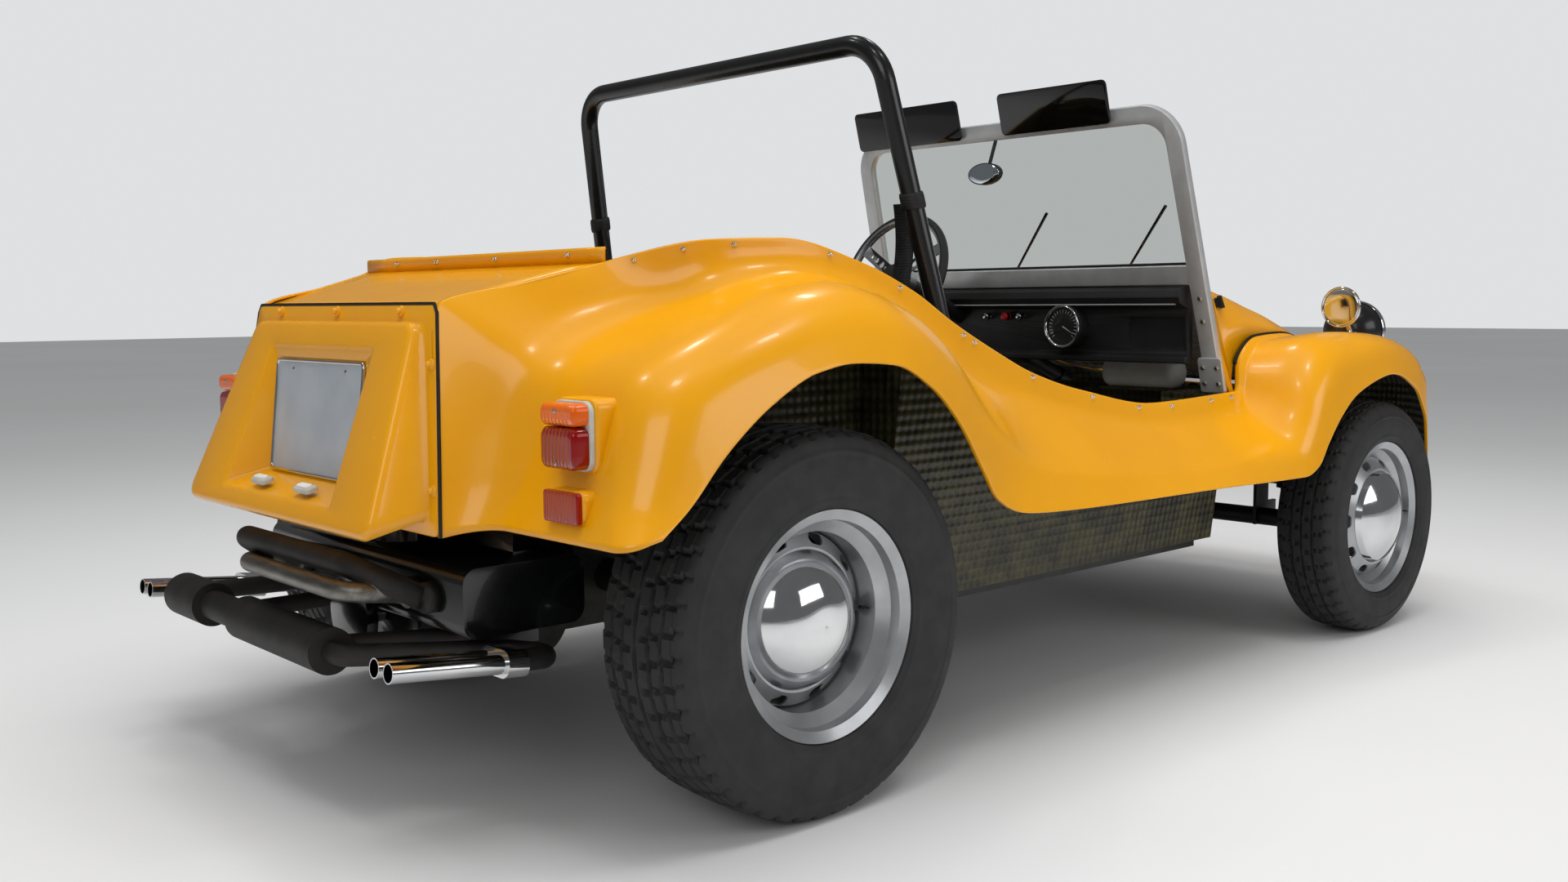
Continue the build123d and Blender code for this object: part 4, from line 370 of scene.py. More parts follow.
def colour(code):
    """Linear colour of an sRGB hex code: below 0.04045 divided by 12.92, above it the 2.4 power curve."""
    parts = np.array([int(code[i:i + 2], 16) for i in (1, 3, 5)]) / 255
    linear = np.where(parts <= 0.04045, parts / 12.92, ((parts + 0.055) / 1.055) ** 2.4)
    return (*linear.tolist(), 1.0)


def add(tree, kind, settings=(), links=()):
    """Add a node of a kind, with settings as (name, value) and links as (input, socket of another node)."""
    new = tree.nodes.new("ShaderNode" + kind)
    for name, value in settings:
        if isinstance(name, str) and hasattr(new, name):
            setattr(new, name, value)
        else:
            new.inputs[name].default_value = value
    for name, socket in links:
        tree.links.new(socket, new.inputs[name])
    return new


def material(name, base, roughness, **surface):
    """A Principled surface in one base colour; returns its tree's parts for patterns to be linked to."""
    made = bpy.data.materials.new(name)
    made.use_nodes = True
    tree = made.node_tree
    shader = tree.nodes["Principled BSDF"]
    shader.inputs["Base Color"].default_value = colour(base)
    shader.inputs["Roughness"].default_value = roughness
    for key, value in surface.items():
        shader.inputs[key.replace("_", " ")].default_value = value
    place = add(tree, "TexCoord").outputs["Object"]
    return made, tree, shader, place


def per_metre(size_mm):
    """Texture scale for a feature of a size in millimetres."""
    return 1000 / size_mm


def mottled(tree, shader, place, base, other, size_mm, detail=3.0, low=0.35, high=0.65):
    """Colour that drifts between two near tones in patches of a size."""
    noise = add(tree, "TexNoise", [("Scale", per_metre(size_mm)), ("Detail", detail)], [("Vector", place)])
    blend = add(tree, "ValToRGB", [], [("Fac", noise.outputs["Fac"])])
    blend.color_ramp.elements[0].position, blend.color_ramp.elements[1].position = low, high
    blend.color_ramp.elements[0].color, blend.color_ramp.elements[1].color = colour(base), colour(other)
    tree.links.new(blend.outputs["Color"], shader.inputs["Base Color"])
    return noise


def rough_patches(tree, shader, place, size_mm, low, high, detail=4.0):
    """Roughness that drifts between two values in patches of a size, like wiped dust."""
    noise = add(tree, "TexNoise", [("Scale", per_metre(size_mm)), ("Detail", detail)], [("Vector", place)])
    span = add(tree, "MapRange", [("To Min", low), ("To Max", high)], [("Value", noise.outputs["Fac"])])
    tree.links.new(span.outputs["Result"], shader.inputs["Roughness"])


def grained(tree, shader, height, distance_mm, strength=1.0):
    """Bump from a height pattern, its full depth given in millimetres."""
    bump = add(tree, "Bump", [("Strength", strength), ("Distance", distance_mm * MM)], [("Height", height)])
    tree.links.new(bump.outputs["Normal"], shader.inputs["Normal"])


def make_gelcoat():
    """Polyester gelcoat out of a polished mould: a deep warm gloss that bends in faint long waves."""
    made, tree, shader, place = material("polished_yellow_gelcoat", "#E89F00", 0.24, Coat_Weight=0.25,
                                         Coat_Roughness=0.04)
    mottled(tree, shader, place, "#E89F00", "#ECA300", 260)
    rough_patches(tree, shader, place, 60, 0.2, 0.3)
    wave = add(tree, "TexNoise", [("Scale", per_metre(190)), ("Detail", 1.5)], [("Vector", place)])
    grained(tree, shader, wave.outputs["Fac"], 0.9, 0.55)
    return made


def make_laminate():
    """Bare glass-fibre laminate: the diamond weave of roving under dark resin, one strand 14 mm across."""
    made, tree, shader, place = material("woven_glass_fibre_laminate", "#3B3822", 0.4)
    strands = []
    for way in ((1, 1, 1), (1, 1, -1)):
        dot = add(tree, "VectorMath", [("operation", "DOT_PRODUCT"), (1, way)], [(0, place)])
        scaled = add(tree, "Math", [("operation", "MULTIPLY"), (1, 2 * math.pi * per_metre(24) / 1.732)],
                     [(0, dot.outputs["Value"])])
        strands.append(add(tree, "Math", [("operation", "SINE")],
                           [(0, scaled.outputs["Value"])]).outputs["Value"])
    woven = add(tree, "Math", [("operation", "MULTIPLY")], [(0, strands[0]), (1, strands[1])])
    noise = add(tree, "TexNoise", [("Scale", per_metre(45)), ("Detail", 5.0)], [("Vector", place)])
    tone = add(tree, "Math", [("operation", "MULTIPLY_ADD"), (1, 0.14)],
               [(0, woven.outputs["Value"]), (2, noise.outputs["Fac"])])
    ramp = add(tree, "ValToRGB", [], [("Fac", tone.outputs["Value"])])
    ramp.color_ramp.elements[0].color, ramp.color_ramp.elements[0].position = colour("#211F12"), 0.3
    ramp.color_ramp.elements[1].color, ramp.color_ramp.elements[1].position = colour("#544E2E"), 0.72
    tree.links.new(ramp.outputs["Color"], shader.inputs["Base Color"])
    grained(tree, shader, woven.outputs["Value"], 1.6)
    return made


def make_speckled(name, base, other, roughness, grain_mm, depth_mm, patch_mm=80, **surface):
    """A cast, moulded or sprayed surface: fine grain in the height, and slow drift in tone and gloss."""
    made, tree, shader, place = material(name, base, roughness, **surface)
    mottled(tree, shader, place, base, other, patch_mm)
    rough_patches(tree, shader, place, patch_mm * 0.6, max(roughness - 0.06, 0.02), roughness + 0.08)
    grain = add(tree, "TexNoise", [("Scale", per_metre(grain_mm)), ("Detail", 2.0)], [("Vector", place)])
    grained(tree, shader, grain.outputs["Fac"], depth_mm)
    return made


def make_brushed(name, base, other, roughness, along=(1, 40, 40)):
    """A brushed metal: noise drawn out along the brushing, in the tone and in the height."""
    made, tree, shader, place = material(name, base, roughness, Metallic=1.0)
    stretch = add(tree, "Mapping", [("Scale", along)], [("Vector", place)])
    lines = add(tree, "TexNoise", [("Scale", per_metre(60)), ("Detail", 6.0)],
                [("Vector", stretch.outputs["Vector"])])
    ramp = add(tree, "ValToRGB", [], [("Fac", lines.outputs["Fac"])])
    ramp.color_ramp.elements[0].color, ramp.color_ramp.elements[0].position = colour(base), 0.3
    ramp.color_ramp.elements[1].color, ramp.color_ramp.elements[1].position = colour(other), 0.7
    tree.links.new(ramp.outputs["Color"], shader.inputs["Base Color"])
    span = add(tree, "MapRange", [("To Min", roughness - 0.05), ("To Max", roughness + 0.12)],
               [("Value", lines.outputs["Fac"])])
    tree.links.new(span.outputs["Result"], shader.inputs["Roughness"])
    grained(tree, shader, lines.outputs["Fac"], 0.04)
    return made


def make_leather_grain(name, base, other, roughness, cell_mm=3.2):
    """Embossed vinyl: rounded cells with fine creases between them."""
    made, tree, shader, place = material(name, base, roughness)
    cells = add(tree, "TexVoronoi", [("Scale", per_metre(cell_mm)), ("Randomness", 0.9)], [("Vector", place)])
    mottled(tree, shader, place, base, other, 120)
    grained(tree, shader, cells.outputs["Distance"], 0.25)
    return made


def make_tyre_rubber():
    """Vulcanised black rubber: matt, with patches of dust that turn it slightly brown."""
    made, tree, shader, place = material("carbon_black_tyre_rubber", "#232324", 0.7)
    mottled(tree, shader, place, "#1E1E1F", "#2B2A29", 45, 6.0, 0.3, 0.75)
    rough_patches(tree, shader, place, 30, 0.55, 0.78)
    grain = add(tree, "TexNoise", [("Scale", per_metre(1.6)), ("Detail", 2.0)], [("Vector", place)])
    grained(tree, shader, grain.outputs["Fac"], 0.25)
    return made


def make_lens(name, base, roughness, rib_mm=5.0, weight=0.3):
    """Moulded lamp plastic: deeply tinted, lets a share of the light through and has fine upright ribs."""
    made, tree, shader, place = material(name, base, roughness, Transmission_Weight=weight, IOR=1.49)
    ribs = add(tree, "TexWave", [("bands_direction", "Y"), ("Scale", per_metre(rib_mm) / 6.283)],
               [("Vector", place)])
    grained(tree, shader, ribs.outputs["Fac"], 0.5)
    mottled(tree, shader, place, base, base, 30)
    return made


def make_webbing():
    """Woven polyester belt: dull black with ribs across the strap, 3 mm apart so that they show."""
    made, tree, shader, place = material("woven_polyester_webbing", "#141415", 0.62)
    ribs = add(tree, "TexWave", [("bands_direction", "Z"), ("Scale", per_metre(3) / 6.283),
                                 ("Distortion", 0.3)], [("Vector", place)])
    mottled(tree, shader, place, "#101011", "#1E1E20", 20)
    grained(tree, shader, ribs.outputs["Fac"], 0.3)
    return made


def make_clear(name, base, roughness, ior):
    """Clear sheet: light goes right through, with faint wiped patches in the gloss."""
    made, tree, shader, place = material(name, base, roughness, Transmission_Weight=1.0, IOR=ior)
    rough_patches(tree, shader, place, 140, roughness, roughness + 0.03)
    return made


gelcoat = make_gelcoat()
laminate = make_laminate()
# Stoved enamel on steel tube: near black, with a tight sheen
black_enamel = make_speckled("stoved_black_enamel", "#0B0B0C", "#121213", 0.28, 7, 0.06, Coat_Weight=0.3)
# Brushed-on chassis paint: even satin black that hides the underside
satin_black_paint = make_speckled("satin_black_chassis_paint", "#101011", "#1A1918", 0.46, 4, 0.12)
# Grained moulding plastic: soft black without a sharp highlight
grained_black_abs = make_speckled("grained_black_abs", "#121213", "#19191A", 0.5, 1.4, 0.2, 120)
# Gloss paint on pressed engine tin: wet black with streaks of light
engine_tin = make_speckled("glossy_black_engine_tin", "#08090A", "#101112", 0.2, 9, 0.08, Coat_Weight=0.4)
# Sand-cast magnesium: dull grey with a coarse grain
crankcase_alloy = make_speckled("sand_cast_magnesium_alloy", "#4C4C4A", "#61605C", 0.55, 2.2, 0.5, 50,
                                Metallic=0.7)
# Heat-proof coating: flat sooty black, a little brown
muffler_coat = make_speckled("heat_proof_black_coating", "#141313", "#241F1C", 0.6, 2.5, 0.25, 60)
# Bare drawn steel pipe: brown-grey with lines along it
header_steel = make_brushed("bare_steel_pipe", "#77756F", "#9A9892", 0.42, (6, 1, 6))
# Satin anodised aluminium: pale grey with a broad soft highlight
screen_aluminium = make_speckled("satin_anodised_aluminium", "#C4C5C5", "#D0D1D1", 0.42, 5, 0.05, 60,
                                 Metallic=0.6)
# Polished chrome plate: mirrors the floor and the lamps
chrome = make_speckled("polished_chrome_plate", "#D8D9DB", "#E4E5E6", 0.06, 30, 0.05, 90, Metallic=1.0)
# Silver enamel with fine flake: bright grey rim faces
wheel_silver = make_speckled("silver_wheel_enamel", "#A9ABAE", "#B9BBBD", 0.3, 6, 0.06, 70, Metallic=0.75,
                             Coat_Weight=0.3)
# Zinc-plated fasteners: small warm-grey glints
zinc_plate = make_speckled("zinc_plated_steel", "#B5B2A6", "#C9C6BA", 0.32, 3, 0.1, 12, Metallic=1.0)
tyre_rubber = make_tyre_rubber()
# Moulded rubber: black lines in the seams
seal_rubber = make_speckled("moulded_seal_rubber", "#0C0C0D", "#151516", 0.6, 2, 0.15, 40)
# Embossed vinyl over foam: black with small leathery cells
seat_vinyl = make_leather_grain("embossed_black_vinyl", "#121213", "#1B1B1C", 0.46)
# Blow-moulded polyethylene: milky white
bottle_plastic = make_speckled("blow_moulded_polyethylene", "#E9E8E2", "#DFDDD4", 0.42, 12, 0.4, 60)
# Lamp plastics: clear bright amber and deep red, and a red reflector with finer ribs
amber_lens = make_lens("amber_lamp_plastic", "#E86400", 0.14, weight=0.12)
red_lens = make_lens("red_lamp_plastic", "#8E0000", 0.14, weight=0.12)
reflector_red = make_lens("prismatic_red_reflector", "#960000", 0.18, 3.0, 0.1)
# Clear glasses: the fluted lamp glass bends what is behind it, the flat sheet hardly does
clear_lens = make_clear("fluted_lamp_glass", "#F4F6F6", 0.03, 1.5)
screen_glass = make_clear("flat_laminated_glass", "#F3F8F5", 0.0, 1.05)
# Cast smoked acrylic: glossy brown-black sheet
smoked_acrylic = make_speckled("smoked_acrylic_sheet", "#0A0807", "#0D0A08", 0.08, 60, 0.01, 90,
                               Coat_Weight=0.4)
# Moulded lamp base: pale grey edge round the lenses
lamp_grey = make_speckled("grey_lamp_base_plastic", "#B4B2AA", "#C2C0B8", 0.5, 2, 0.1, 30)
# Pressed and painted sheet: cool light grey, blank
plate_sheet = make_speckled("pressed_plate_sheet", "#AEB6BE", "#B9C0C7", 0.35, 8, 0.08, 90, Metallic=0.2)
webbing = make_webbing()
# Printed dial: matt black, white ink for its marks
dial_face = make_speckled("printed_dial_face", "#0A0A0B", "#0E0E0F", 0.4, 3, 0.02, 20)
dial_mark = make_speckled("white_dial_ink", "#E8E8E4", "#DADAD6", 0.5, 3, 0.02, 20)
# Moulded plastic knob: one red point on the dashboard
knob_red = make_speckled("moulded_red_knob", "#9C1010", "#A81414", 0.3, 4, 0.05, 20)


# Body moulding: one glossy surface from the right tail round the nose to the left tail

def side_corners(rows):
    """Hem, coaming edge, crease, knee and lip of side rows, right side: a distance s down the line from the
    coaming edge to the lip, and a half width."""
    top_x, top_z, top_w, lip_x, lip_z, lip_w, crease_s, crease_w, knee_s, knee_w, _ = rows.T
    length = np.hypot(lip_x - top_x, lip_z - top_z)
    down_x, down_z = (lip_x - top_x) / length, (lip_z - top_z) / length

    def point(s, w):
        """Point a distance down each row's line, at a half width."""
        return np.stack([top_x + down_x * s, -w, top_z + down_z * s], -1)
    low = point(length, lip_w)
    corners = [point(0 * top_x, top_w - hem), point(0 * top_x, top_w), point(crease_s, crease_w),
               point(knee_s, knee_w), low, low + unit(low - point(length, lip_w + 8)) * 10]
    return np.stack(corners, 1)


def nose_corners(rows):
    """The same corners of nose rows: a height and a distance from an upright fold line at a turn."""
    fold_w, fold_x, turn, top_d, top_z, knee_d, knee_z, lip_d, lip_z, _ = rows.T
    turn = np.radians(turn)

    def point(z, d):
        """Point at a height and a distance out from each row's fold."""
        return np.stack([fold_x + np.sin(turn) * d, -(fold_w + np.cos(turn) * d), z], -1)
    corners = [point(top_z, top_d - hem), point(top_z, top_d), point(top_z - 8, top_d + 12),
               point(knee_z, knee_d), point(lip_z, lip_d), point(lip_z, lip_d - 10)]
    return np.stack(corners, 1)


def body_rows():
    """All corner rows with their knee radii, right tail to the centre of the nose."""
    corners = np.concatenate([side_corners(side_stations), nose_corners(nose_stations[1:])])
    knee = np.concatenate([side_stations[:, 10], nose_stations[1:, 9]])
    crease = np.concatenate([np.clip(side_stations[:, 6] * 1.6 - 14, 6, 130),
                             np.full(len(nose_stations) - 1, 8.0)])
    return corners, knee, crease


def hood(rows, crown_steps=28, side_steps=5, arcs=7):
    """Sections across the car: side leg, shoulder arc touching both legs, and the crown as the circle
    through the two shoulder ends and the raised middle."""
    seam_x, seam_z, seam_w, top_x, top_z, shoulder_w, share, radius = rows.T
    rise = np.hypot(top_x - seam_x, top_z - seam_z)
    zero = np.zeros_like(rise)
    line = np.stack([np.stack([zero, seam_w], -1), np.stack([rise * share, shoulder_w], -1),
                     np.stack([rise, zero], -1)], 1)
    half = rounded(line, np.stack([zero, radius, zero], 1), [(1, 0.96), (0.9, 0.6), (1, 1)],
                   [side_steps, 1, 1], arcs)[:, :-2]
    end = half[:, -1]
    sag, reach = np.maximum(rise - end[:, 0], 0.01), end[:, 1]
    big = (reach**2 + sag**2) / (2 * sag)
    turn = np.arcsin(reach / big)[:, None] * np.linspace(1, -1, crown_steps + 1)[None, 1:-1]
    crown = np.stack([rise[:, None] - big[:, None] * (1 - np.cos(turn)), big[:, None] * np.sin(turn)], -1)
    other = half[:, ::-1] * np.array([1, -1])
    flat = np.concatenate([half, crown, other], 1)
    up_x, up_z = ((top_x - seam_x) / rise)[:, None], ((top_z - seam_z) / rise)[:, None]
    return np.stack([seam_x[:, None] + up_x * flat[..., 0], flat[..., 1],
                     seam_z[:, None] + up_z * flat[..., 0]], -1)


def strip(a, b, steps=2):
    """Grid between two lines of points."""
    s = np.linspace(0, 1, steps)[None, :, None]
    return np.asarray(a, float)[:, None] * (1 - s) + np.asarray(b, float)[:, None] * s


def fender_skin(row, w):
    """Point of a side row between its crease and knee at a half width."""
    corners = side_corners(side_stations[row:row + 1])[0]
    crease, knee = corners[2], corners[3]
    return crease + (knee - crease) * ((-w - crease[1]) / (knee[1] - crease[1]))


def loop(half_w, half_h, radius, arcs=6, slant=0.0):
    """Rounded rectangle in a plane, all round; slant narrows its top by a share."""
    line = np.array([[(-half_w, -half_h), (half_w, -half_h), (half_w * (1 - slant), half_h),
                      (-half_w * (1 - slant), half_h)]], float)
    return rounded(line, np.full((1, 4), radius), np.full((4, 2), 0.5), [3] * 4, arcs, closed=True)[0]


def pad_grid(low_row, high_row, w, z, width, tall, face_x):
    """Upright rounded pad on the tail of a fender: its loop swept from the skin to the face, edge rounded."""
    low, high = fender_skin(low_row, w), fender_skin(high_row, w)

    def skin_x(height):
        """Place of the skin behind the pad at a height."""
        return low[0] + (high[0] - low[0]) * (height - low[2]) / (high[2] - low[2])
    rings = []
    for inset, back in ((0, None), (0, 8.0), (0.8, 3.5), (2.6, 1.2), (6, 0.2), (14, 0), (width / 2 - 1, 0)):
        flat = loop(width / 2 - inset, tall / 2 - min(inset, tall / 2 - 1), max(16 - inset, 0.5))
        height = z + flat[:, 1]
        x = skin_x(height) + 6 if back is None else np.full(len(flat), face_x + back)
        x = np.minimum(x, skin_x(height) + 6)
        rings.append(np.stack([x, -(w + flat[:, 0]), height], -1))
    return np.stack(rings, 1)


rows_per_station, corner_count, numbers_per_row = 7, 6, 18
corner_rows, knee_radii, crease_radii = body_rows()
spans = np.linalg.norm(np.diff(corner_rows[:, 1:4], axis=0), axis=-1).mean(-1)
packed_rows = np.concatenate([corner_rows.reshape(len(corner_rows), -1), knee_radii[:, None],
                              crease_radii[:, None]], 1)
packed_rows = carried(packed_rows, spans, rows_per_station)
fine_corners = packed_rows[:, :numbers_per_row].reshape(-1, corner_count, 3)
for _ in range(6):
    # Crease and knee lines smoothed along the body by the mean of each row with its neighbours
    inner = fine_corners[:, 2:4]
    inner[1:-1] = 0.5 * inner[1:-1] + 0.25 * (inner[:-2] + inner[2:])
edge_radius = 4
fine_radii = np.zeros((len(packed_rows), corner_count))
fine_radii[:, 1] = edge_radius
fine_radii[:, 2] = packed_rows[:, numbers_per_row + 1]
fine_radii[:, 3] = packed_rows[:, numbers_per_row]
fine_radii[:, 4] = edge_radius
shares = [(1, 0.3), (0.5, 0.2), (0.72, 0.42), (0.55, 0.6), (0.35, 0.4), (0.4, 1)]
right_side = rounded(fine_corners, fine_radii, shares, [1, 1, 3, 6, 6, 1], 9)
left_side = right_side[-2::-1] * other_side
moulding = np.concatenate([right_side, left_side])

deck_front, deck_rear = np.array([-1290, 452, 985.0]), np.array([-1567, 366, 913.0])
deck_steps = np.linspace(0, 1, 9)[:, None]
deck_left = deck_rear + (deck_front - deck_rear) * deck_steps
deck = strip(deck_left * other_side, deck_left, 12)
coaming_profile = np.array([(-1290, 985), (-1290, 1008), (-1288.5, 1011.8), (-1285, 1013)])
rear_coaming = np.stack([np.stack([np.full(12, x), np.linspace(-452, 452, 12), np.full(12, z)], -1)
                         for x, z in coaming_profile], 1)
tail_pads = [(pad_grid(1, 2, 662, 708, 112, 118, -1497), False, True, False),
             (pad_grid(0, 1, 674, 599, 98, 54, -1528), False, True, False)]
tail_pads += on_other_side(tail_pads)

mesh_piece("body_moulding", [(moulding, True, False, False), (deck, False, False, False),
                             (rear_coaming, True, False, False),
                             (hood(scuttle_stations), True, False, False)],
           gelcoat, "chassis", node="body_shell", slot="gelcoat", wall=gelcoat_wall, weld=False,
           inside=laminate)
mesh_piece("fender_tail_pads", tail_pads, gelcoat, "chassis", node="body_shell", slot="gelcoat")

bonnet_spans = np.hypot(np.diff(bonnet_stations[:, 3]), np.diff(bonnet_stations[:, 4]))
bonnet_surface = hood(carried(bonnet_stations, bonnet_spans, 8))
mesh_piece("bonnet_skin", [(bonnet_surface, True, False, False)], gelcoat, "bonnet", node="bonnet",
           slot="gelcoat", wall=gelcoat_wall, weld=False, inside=laminate)

# Engine cover: rounded trapezoid loops from the bolted flange over the face edge into the plate recess
lid_foot, lid_run = np.array([-1610.0, 0, 530]), unit(np.array([42.0, 0, 383]))
lid_out = np.array([-lid_run[2], 0, lid_run[0]])
face_low, face_high = np.array([-1726.0, 0, 538]), np.array([-1594.0, 0, 885])
face_run = unit(face_high - face_low)
face_out = np.array([-face_run[2], 0, face_run[0]])
lid_height, face_length = 385.3, float(np.linalg.norm(face_high - face_low))


def lid_point(w, h):
    """Point of the cover's seam plane at a half width and height up the slope."""
    return lid_foot + lid_run * h[..., None] + np.array([0, 1.0, 0]) * w[..., None]


def face_point(w, h):
    """Point of the cover's raised face."""
    return face_low + face_run * h[..., None] + np.array([0, 1.0, 0]) * w[..., None]


def trapezoid_loop(low_w, high_w, low, high, radius, place, arcs=7):
    """Rounded trapezoid round one of the cover's planes."""
    line = np.array([[(-low_w, low), (low_w, low), (high_w, high), (-high_w, high)]], float)
    flat = rounded(line, np.full((1, 4), radius), np.full((4, 2), 0.48), [10, 10, 10, 10], arcs,
                   closed=True)[0]
    return place(flat[:, 0], flat[:, 1])


# Loops of the cover, outside in: half widths and heights below and above, corner radius, plane and rise
seam, face = (lid_point, lid_out), (face_point, face_out)
lid_table = [
    (428, 364, 0, lid_height, 16, seam, -3),
    (428, 364, 0, lid_height, 16, seam, 3),
    (426, 362, 2, lid_height - 2, 15, seam, 4.5),
    (402, 340, 20, lid_height - 26, 20, seam, 5),
    (398, 336, 22, lid_height - 30, 22, seam, 7),
    (397, 329, -4, face_length + 3, 26, face, -14),
    (395, 327, -2, face_length + 1.5, 26, face, -6),
    (391, 323, 1, face_length - 2, 25, face, -1.5),
    (384, 316, 7, face_length - 9, 22, face, 0),
    (241, 219, 28, 328, 14, face, 0),
    (234, 212, 34, 321, 10, face, -1.8),
    (230, 209, 38, 317, 8, face, -6),
    (194, 190, 61, 286, 8, seam, 34),
    (191, 187, 64, 283, 7, seam, 30.5),
    (184, 180, 70, 277, 5, seam, 30),
    (2, 2, 172, 175, 0.5, seam, 30),
]
lid_rings = [trapezoid_loop(low_w, high_w, low, high, radius, plane[0]) + plane[1] * rise
             for low_w, high_w, low, high, radius, plane, rise in lid_table]
lid = np.stack(lid_rings, 1)
mesh_piece("engine_lid", [(lid, True, True, False)], gelcoat, "chassis", node="engine_cover", slot="gelcoat",
           wall=4)


# Tyres: the moulded outline turned once round the axle, with tread cut into it

# Sections shared by both tyres: run of the shoulder, fall of the crown, drop to the widest place of the
# wall, radius where the wall meets the bead, and depth of the grooves
shoulder_run, crown_fall, widest_drop, bead_top, groove_depth = 26, 4, 62, 209.0, 8.5
# Bands raised on the wall, and the slots' share of a block and the waviness of the grooves
high_band, low_band = (44, 36, 1.6), (217, 226, 1.4)
slot_share, groove_wave, steps_per_block = 0.17, 0.022, 6


def tyre_outline(radius, width, rim_width):
    """Widths and radii from bead to bead: the tread is a flat parabola, the shoulder a short bend, and the
    wall swells by a power curve to its widest place, then follows an ellipse down to the bead. Two bands
    stand out of the wall."""
    bulge = (width - rim_width) / 2
    tread_half = width / 2 - shoulder_run
    tread = np.linspace(-tread_half, tread_half, 57)
    crown = radius - crown_fall * (tread / tread_half) ** 2
    shoulder_w = np.array([0, 6, 10, 14, 17]) + tread_half
    shoulder_r = radius - crown_fall - np.array([1.2, 3.2, 5.5, 9, 13])
    wall_top, widest_r = shoulder_r[-1] - 4, radius - widest_drop
    wall_share = np.linspace(0, 1, 34)
    wall_r = wall_top * (1 - wall_share) + bead_top * wall_share
    fall = (wall_r - widest_r) / (widest_r - bead_top + 8)
    below = np.where(wall_r < widest_r, 1, 0)
    low_w = rim_width / 2 - 2 + (bulge + 2) * np.sqrt(np.clip(1 - fall**2 * below, 0, 1))
    reach = np.clip((wall_r - widest_r) / (wall_top - widest_r), 0, 1)
    high_w = width / 2 - (width / 2 - shoulder_w[-1] - 2) * reach**2.2
    wall_w = np.where(wall_r > widest_r, high_w, low_w)
    wall_w = wall_w + (high_band[2] * ((wall_r < radius - high_band[1]) & (wall_r > radius - high_band[0]))
                       + low_band[2] * ((wall_r < low_band[1]) & (wall_r > low_band[0])))
    bead = np.array([(rim_width / 2 - 4, 206.0), (rim_width / 2 - 11, 198), (rim_width / 2 - 12, 191.2)])
    widths = [-bead[::-1, 0], -wall_w[::-1], -shoulder_w[::-1], tread, shoulder_w, wall_w, bead[:, 0]]
    radii = [bead[::-1, 1], wall_r[::-1], shoulder_r[::-1], crown, shoulder_r, wall_r, bead[:, 1]]
    return np.concatenate(widths), np.concatenate(radii), tread_half


def tyre_grid(axle_x, radius, width, flange_w, rim_width, blocks, grooves, block_skew, side):
    """Grid of a tyre: its outline for every step round the wheel, with the tread cut down by wavy grooves
    round the wheel and by slots across the ribs between them."""
    w, r, tread_half = tyre_outline(radius, width, rim_width)
    turns = np.linspace(0, 2 * math.pi, blocks * steps_per_block, endpoint=False)[:, None]
    share = np.clip(np.abs(w) / tread_half, 0, 1.28)
    on_tread = (r > radius - 14.5) & (share < 1.27)
    cut = np.zeros((len(turns), len(w)))
    for place, half in grooves:
        wave = groove_wave * np.sin(turns * blocks / 2)
        cut = np.maximum(cut, (np.abs(np.abs(w / tread_half)[None] - place - wave) < half) * 1.0)
    phase = (turns * blocks / (2 * math.pi) + block_skew * share[None] + 0.5 * (w > 0)[None]) % 1.0
    ribs = (share > 0.12) & (share < 0.34) | (share > 0.46) & (share < 0.68) | (share > 0.78)
    slot = (phase < slot_share) & ribs[None]
    cut = np.maximum(cut, slot * np.where(share > 1.0, 0.6, 0.9)[None])
    around = r[None] - groove_depth * cut * on_tread[None]
    x = axle_x + around * np.cos(turns)
    z = radius + around * np.sin(turns)
    y = np.broadcast_to(side * (flange_w - rim_width / 2 + w[None]), x.shape)
    return np.stack([x, y, z], -1)


for end, axle_x, radius, width, flange_w, rim_width, dish, blocks, skew in (
        ("front", 1050, 316, 168, 772, 135, 12, 44, 0.35), ("rear", -1050, 349, 232, 771, 200, 72, 48, 0.5)):
    grooves = ((0.0, 0.045), (0.40, 0.045), (0.74, 0.04)) if end == "rear" else ((0.0, 0.05), (0.5, 0.055))
    for hand, side in (("left", 1), ("right", -1)):
        body = "wheel_" + end + "_" + hand
        grid = tyre_grid(axle_x, radius, width, flange_w, rim_width, blocks, grooves, skew, side)
        mesh_piece("tyre_moulded_" + end + "_" + hand, [(grid, side < 0, True, False)], tyre_rubber, body,
                   node="tyre_" + end + "_" + hand, slot="tyre_rubber", weld=False, crisp=32)
        painted(wheel_silver, "rim_" + end + "_" + hand)
        painted(chrome, "hub_cap_" + end + "_" + hand)
        # Valve: a small rubber stem that stands out of the rim beside the hub cap
        stem = [(0, 3.4), (4, 3.4), (10, 3.0), (12, 2.2), (20, 2.2), (21, 1.6), (21.2, 0.02)]
        foot = (axle_x + 152, side * (flange_w - dish - 6), radius)
        lathed("valve_stem_" + end + "_" + hand, stem, 14, foot, (0.25, side, 0), upward, seal_rubber, body,
               slot="tyre_rubber")


